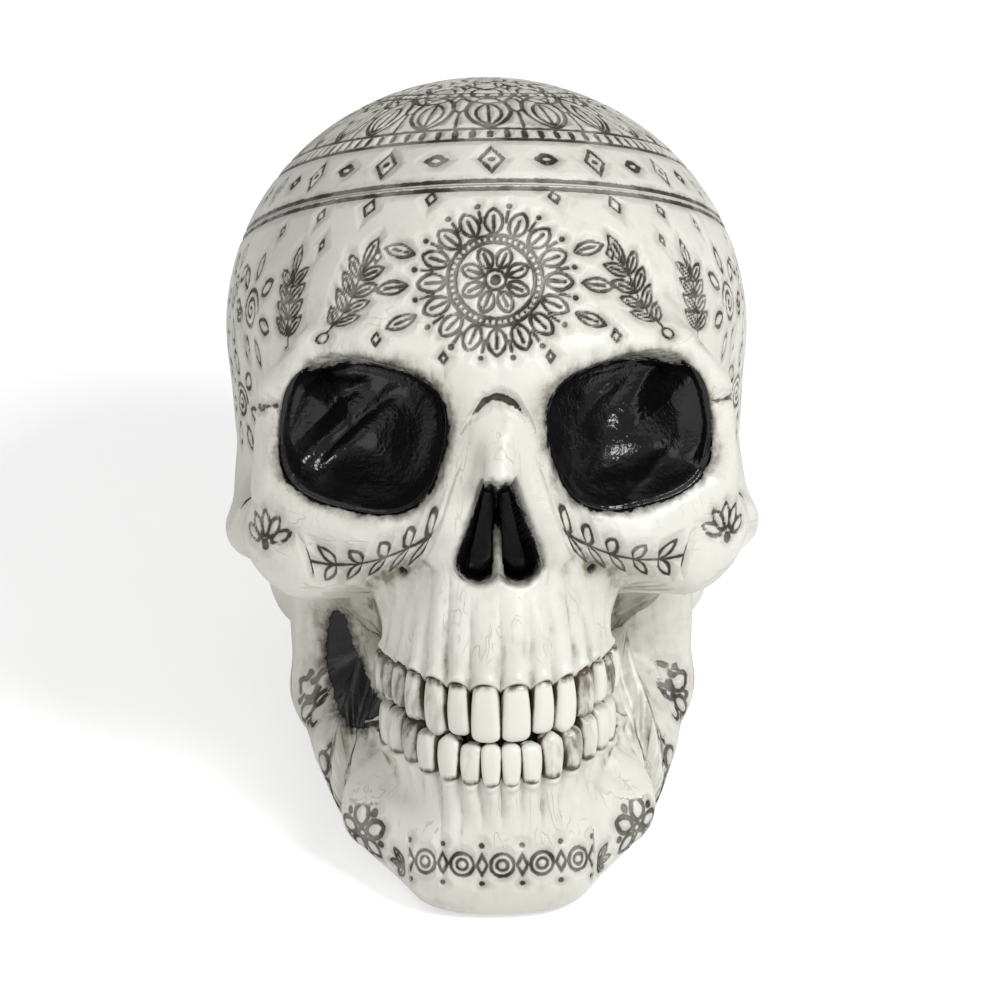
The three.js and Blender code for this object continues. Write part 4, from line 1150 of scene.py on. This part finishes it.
rear.stain = np.maximum(rear.stain, 0.14 * smooth_step(0.40, 0.8, clouds(rear.place, 0.26, 3)))
dressed(closed_body("rear", rear), bone_plastic, ["rear_shell"])


# Jaw: the chin, the lower tooth row's bone and the two branches that rise under the cheek arches, fixed shut.
# A row of rings and lozenges runs round the chin, and five-petal flowers climb the sides.
jaw_angles = (SEAM_ANGLE - SEAM_HALF_ANGLE) * spaced(361 // COARSE, 0.70)
jaw = Moulding(jaw_angles, base_edge, jaw_seam(-HALF_SEAM), np.linspace(0, 1, 200 // COARSE), False)
off_the_seam = smooth_step(1, 0.95, np.linspace(0, 1, len(jaw.ring)))[:, None]
for _ in range(2):
    jaw.evened(jaw.grazed(-0.78, (0.004, 0.011)) * off_the_seam)
x, y, z = np.moveaxis(jaw.place, -1, 0)

# The level of the chin's row is a smooth curve through one row of the grid: its drop from the bite jumps
# where the skin folds under the teeth.
chin_row, middle = jaw.nearest(0, -0.70)
drop = jaw.down[chin_row]
near_middle = np.abs(jaw.across[chin_row]) < 0.33
bend = np.polyfit(jaw.across[chin_row, near_middle] ** 2, (drop - drop[middle])[near_middle], 2)
CHIN_STEP = 0.104
u, v = jaw.across, jaw.down - drop + np.polyval(bend, jaw.across[chin_row] ** 2)
v = np.where(np.abs(u) < 0.265, v, 9)
ring_u, lozenge_u = np.mod(u + CHIN_STEP / 2, CHIN_STEP) - CHIN_STEP / 2, np.mod(u, CHIN_STEP) - CHIN_STEP / 2
for radius, width in ((0.030, 0.0105), (0.014, 0.0095)):
    engrave(jaw, circle(ring_u, v, radius), width)
engrave(jaw, lozenge(lozenge_u, v, 0.014, 0.026), 0.0095)
for rim_drop in (-0.052, 0.052):
    engrave(jaw, dot(lozenge_u, v - rim_drop, 0.004), 0.008)
for turn in (35, 90, 145):
    leaf_u, leaf_v = turned(np.abs(u) - 0.285, jaw.down - drop[middle], turn)
    engrave(jaw, veined_leaf(leaf_u, leaf_v, 0.052, 0.022), 0.0095)
JAW_FLOWERS = [(0.470, -0.570, 0.080), (0.440, -0.720, 0.092), (0.355, -0.830, 0.074)]
for half in (-1, 1):
    for across, height, size in JAW_FLOWERS:
        u, v = jaw.flat(jaw.facing(half * across, height))
        engrave(jaw, circle(u, v, 0.17 * size), 0.012)
        engrave_round(jaw, u, v, [(leaf, 5, 0, 0.26 * size, (0.80 * size, 0.58 * size), 0.014),
                                  (dot, 5, 1, 0.92 * size, (0.005,), 0.013)])
gum(jaw, LOWER_WIDTHS, lower_neck, 0.017, 0.17, -1)
deep_dirt_and_shade(jaw)
jaw.upright = smooth_step(-0.66, -0.70, z) * smooth_step(-0.86, -0.80, z) * (y < -0.45)
dressed(closed_body("jaw", jaw), bone_plastic, ["jaw_shell"])


# Teeth: fourteen above and fourteen below, cast with the mouldings, off-white with stained necks and gaps.
# Each is a column of rounded sections: narrow at the neck, widest near the bite, with a flat rounded end.
BITE_SHOULDER = 0.86


def tooth_row(name, widths, half_depth, inset, neck, bite, upward):
    """One row of teeth on the oval of the tooth line. A section is a rounded rectangle, scaled by a profile
    that swells from the neck to the widest place and rounds off into the bite. Both ends close to a point."""
    count = 40 // COARSE
    turn = np.linspace(0, 2 * np.pi, count, endpoint=False)
    rounding = np.radians(np.linspace(0, 90, 7))[1:]
    level = np.concatenate([[0], np.linspace(0, BITE_SHOULDER, 14),
                            BITE_SHOULDER + (1 - BITE_SHOULDER) * np.sin(rounding), [1]])
    close = np.concatenate([[0], np.ones(14), np.cos(rounding), [0]])
    edges = np.concatenate([[0], np.cumsum(widths)])
    corner = np.abs(np.cos(turn)) ** 0.55 * np.sign(np.cos(turn))
    front = np.abs(np.sin(turn)) ** 0.75 * np.sign(np.sin(turn))
    swell = 0.74 + 0.26 * np.sin(np.pi * 0.60 * level**0.7)
    across_close = np.where(level > BITE_SHOULDER, 0.72 + 0.28 * close, 1.0)
    deep_close = np.where(level > BITE_SHOULDER, 0.30 + 0.70 * close, 1.0)
    across_close[[0, -1]] = deep_close[[0, -1]] = 0
    points, faces, tone = [], [], []
    for side in (-1, 1):
        for tooth, width in enumerate(widths):
            molar, canine = tooth > 2, tooth == 2
            middle = (edges[tooth] + edges[tooth + 1]) / 2
            angle = np.interp(middle, row_length, row_turn)
            outward = np.array([side * np.sin(angle) / TOOTH_HALF_WIDTH, -np.cos(angle) / TOOTH_HALF_LENGTH])
            outward /= np.hypot(*outward)
            along = np.array([-outward[1], outward[0]])
            centre = np.array([side * TOOTH_HALF_WIDTH * np.sin(angle),
                               ROW_BACK - TOOTH_HALF_LENGTH * np.cos(angle)])
            centre += [0, max(middle - row_length[-1], 0)] - outward * (half_depth + inset)
            cells = [[tooth, side, upward], [tooth, upward, side], [side, tooth, 7 * upward]]
            luck = hashed(np.array(cells), 5)
            low, high = neck(middle) + 0.020 * upward, bite(middle)
            own = 0.09 if canine else -0.05 * (tooth == 1) - 0.03 * molar
            length = (high - low) * (1.0 + own + 0.03 * (luck[0] - 0.5))
            half_width = width * 0.478 * swell * across_close
            stout, taper = (1.30, 0.0) if molar else (1.08 if canine else 1.0, 0.22)
            depth = half_depth * stout * (1 - taper * level**2)
            offset = corner * half_width[:, None] * (1 - 0.14 * (front < 0))
            bulge = front * (depth * deep_close)[:, None] * (1 + 0.05 * canine * (1 - np.abs(corner)))
            if canine:
                cusp = 0.022 * np.abs(corner) ** 1.6
            elif molar:
                cusp = 0.008 * np.cos(1.5 * np.pi * corner) ** 2
            else:
                cusp = 0.007 * np.abs(corner) ** 3
            climb = level[:, None]
            up = low + length * climb + upward * cusp * climb**4 * np.sign(across_close[:, None] + 0.01)
            lean = 0.007 * np.sin(np.pi * level)[:, None] - 0.004 * (luck[1] - 0.5)
            tilt = 0.03 * (luck[2] - 0.5) * width * climb
            flat = centre + (offset + tilt)[..., None] * along + (bulge + lean)[..., None] * outward
            first = sum(len(p) for p in points)
            points.append(np.concatenate([flat, up[..., None]], -1).reshape(-1, 3))
            neck_tone = 1 - smooth_step(0.0, 0.13, climb)
            gap_tone = smooth_step(0.86, 1.0, np.abs(corner)) * smooth_step(0.95, 0.45, front)
            back_tone = 0.10 * luck[0] + 0.16 * min(tooth, 4) * luck[1]
            tone.append(np.clip(0.62 * neck_tone + 0.95 * gap_tone + back_tone, 0, 1).ravel())
            sheet = first + np.arange(len(level) * count).reshape(len(level), count)
            faces.append(quads(np.concatenate([sheet, sheet[:, :1]], 1)))
    mesh = bpy.data.meshes.new(name)
    mesh.from_pydata(standing(np.concatenate(points)), [], np.concatenate(faces))
    values = np.concatenate(tone).astype(np.float32)
    mesh.attributes.new("tone", "FLOAT", "POINT").data.foreach_set("value", values)
    merged(mesh)
    dressed(mesh, tooth_plastic, [])


def upper_bite(row):
    """Height of the edges of the upper teeth."""
    return -0.541 + smile(row)


def lower_bite(row):
    """Height of the edges of the lower teeth."""
    return -0.545 + smile(row)


def tooth_material():
    """Off-white like the bone, browner at the necks and in the gaps, and glossier."""
    material, shader, place = new_material("tooth_plastic", Coat_Weight=0.25, Coat_Roughness=0.15)
    fine = place.noise(300.0, 3.0)
    streaks = place.stretched((1.0, 1.0, 0.25)).noise(420.0, 4.0)
    tone = place.reading("tone") * (0.30 + 0.6 * fine + 0.9 * streaks.between(0.35, 0.70))
    enamel = place.noise(60.0, 2.0).shade((0.80, 0.79, 0.725, 1), (0.73, 0.72, 0.645, 1))
    tone.between(0.06, 0.90).shade(enamel, (0.085, 0.066, 0.040, 1)).feeds(shader, "Base Color")
    (0.26 + 0.20 * fine).feeds(shader, "Roughness")
    fine.raises(shader, 0.15, 0.0002)
    return material


tooth_plastic = tooth_material()
tooth_row("upper_teeth", UPPER_WIDTHS, 0.032, -0.004, upper_neck, upper_bite, 1)
tooth_row("lower_teeth", LOWER_WIDTHS, 0.028, 0.006, lower_neck, lower_bite, -1)


# Base cover and pads: a plain plastic disc closes the opening that the mouldings are drawn from. Three milky
# rubber pads with rounded edges are pressed into pockets, an oval one under the chin, two round ones behind.
def rubber_material():
    """Soft milky rubber, dusty in patches."""
    material, shader, place = new_material("pad_rubber")
    dust = place.noise(160.0, 4.0)
    dusty = dust.between(0.45, 0.75).shade((0.52, 0.51, 0.47, 1), (0.40, 0.385, 0.34, 1))
    dusty.feeds(shader, "Base Color")
    (0.62 + 0.25 * dust).feeds(shader, "Roughness")
    dust.raises(shader, 0.3, 0.0003)
    return material


def cover_material():
    """The same plastic as the mouldings, left unpainted, with faint turning rings about its middle."""
    material, shader, place = new_material("base_cover_plastic")
    low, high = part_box("base_cover")
    middle = ((low.x + high.x) / 2, (low.y + high.y) / 2, 0)
    away = place.node("ShaderNodeVectorMath", {"operation": "SUBTRACT"}, place, middle).stretched((1, 1, 0))
    reach = place.node("ShaderNodeVectorMath", {"operation": "LENGTH"}, away, output="Value")
    rings = place.math("SINE", reach * 5200 + place.noise(60.0, 2.0) * 6)
    dust = place.noise(90.0, 4.0)
    dust.between(0.40, 0.75).shade(BONE_PALE, (0.58, 0.56, 0.49, 1)).feeds(shader, "Base Color")
    (0.42 + 0.22 * dust).feeds(shader, "Roughness")
    (dust + 0.12 * rings).raises(shader, 0.3, 0.0002)
    return material


def round_pad(name, node, edge=0.0006, count=96):
    """A pad in its pocket: an outline of radius and height with a quarter circle at each edge, turned about
    an upright line and squashed from front to back as its solid is."""
    low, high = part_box(node)
    radius, height = (high.x - low.x) / 2, high.z - low.z
    arc = np.radians(np.linspace(0, 90, 5))
    out = radius - edge + edge * np.concatenate([np.sin(arc), np.cos(arc)])
    up = np.concatenate([edge - edge * np.cos(arc), height - edge + edge * np.sin(arc)])
    out = np.concatenate([[0, radius * 0.5], out, [radius * 0.5, 0]])[:, None]
    up = np.concatenate([[0, 0], up, [height, height]])[:, None]
    angle = np.linspace(0, 2 * np.pi, count // COARSE, endpoint=False)
    squash = (high.y - low.y) / (high.x - low.x)
    points = np.stack([out * np.cos(angle), squash * out * np.sin(angle), up + 0 * angle], -1)
    points = points + np.array([(low.x + high.x) / 2, (low.y + high.y) / 2, low.z])
    sheet = np.arange(points.shape[0] * points.shape[1]).reshape(points.shape[:2])
    mesh = bpy.data.meshes.new(name)
    mesh.from_pydata(points.reshape(-1, 3), [], quads(np.concatenate([sheet, sheet[:, :1]], 1)))
    merged(mesh)
    dressed(mesh, pad_rubber, [node])


cover_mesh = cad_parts["base_cover"].data
cover_mesh.materials.clear()
cover_mesh.materials.append(cover_material())
pad_rubber = rubber_material()
for place in ("chin", "left_rear", "right_rear"):
    round_pad(place + "_foot", place + "_pad")


# Floor, light and camera: a pale seamless table under soft light from the upper right, seen from above the
# front. The table and the studio show white to the camera, and light the skull more faintly.
floor_mesh = bpy.data.meshes.new("floor")
floor_mesh.from_pydata([(-4, -4, 0), (4, -4, 0), (4, 4, 0), (-4, 4, 0)], [], [(0, 1, 2, 3)])
floor = bpy.data.objects.new("floor", floor_mesh)
bpy.context.scene.collection.objects.link(floor)
floor_material, floor_shader, floor_place = new_material("floor", Roughness=0.9, Emission_Strength=0.45)
floor_shader.inputs["Base Color"].default_value = (0.90, 0.90, 0.90, 1)
seen = floor_place.node("ShaderNodeLightPath", {}, output="Is Camera Ray")
seen.shade((0, 0, 0, 1), (1, 1, 1, 1)).feeds(floor_shader, "Emission Color")
floor_mesh.materials.append(floor_material)
floor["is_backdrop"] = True


def area_light(name, place, aim, size, power):
    """A square lamp at a place, turned towards the point that it lights."""
    data = bpy.data.lights.new(name, "AREA")
    data.size, data.energy = size, power
    lamp = bpy.data.objects.new(name, data)
    lamp.location = place
    lamp.rotation_euler = (Vector(aim) - Vector(place)).to_track_quat("-Z", "Y").to_euler()
    bpy.context.scene.collection.objects.link(lamp)
    lamp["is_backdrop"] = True


area_light("key", (0.72, -0.57, 0.97), (0, 0, 0.09), 0.45, 11)
area_light("fill", (-0.9, -0.9, 0.7), (0, 0, 0.09), 1.10, 4.5)

world = bpy.data.worlds.new("studio")
bpy.context.scene.world = world
world.use_nodes = True
background = world.node_tree.nodes["Background"]
background.inputs["Color"].default_value = (1, 1, 1, 1)
light_path = world.node_tree.nodes.new("ShaderNodeLightPath")
seen = Maths(world.node_tree, light_path.outputs["Is Camera Ray"])
(0.40 + 0.60 * seen).feeds(background, "Strength")

AZIMUTH, ELEVATION, DISTANCE = np.radians(-1.8), np.radians(31), 1.2
away = Vector((np.sin(AZIMUTH) * np.cos(ELEVATION), -np.cos(AZIMUTH) * np.cos(ELEVATION), np.sin(ELEVATION)))
sideways = Vector((np.cos(AZIMUTH), np.sin(AZIMUTH), 0))
upwards = away.cross(sideways)
nasion = Vector(standing(np.array([0, -0.90, 0.30])))
camera_data = bpy.data.cameras.new("camera")
camera_data.sensor_width = 36
camera_data.lens = 172.8
camera = bpy.data.objects.new("camera", camera_data)
camera.location = nasion + sideways * 0.00075 - upwards * 0.022 + away * DISTANCE
camera.rotation_euler = away.to_track_quat("Z", "Y").to_euler()
bpy.context.scene.collection.objects.link(camera)
bpy.context.scene.camera = camera
camera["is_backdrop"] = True
bpy.context.scene.view_settings.view_transform = "Standard"

visual_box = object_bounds()
sizes = {"frame": [list(corner) for corner in frame_box], "visual": [list(corner) for corner in visual_box]}
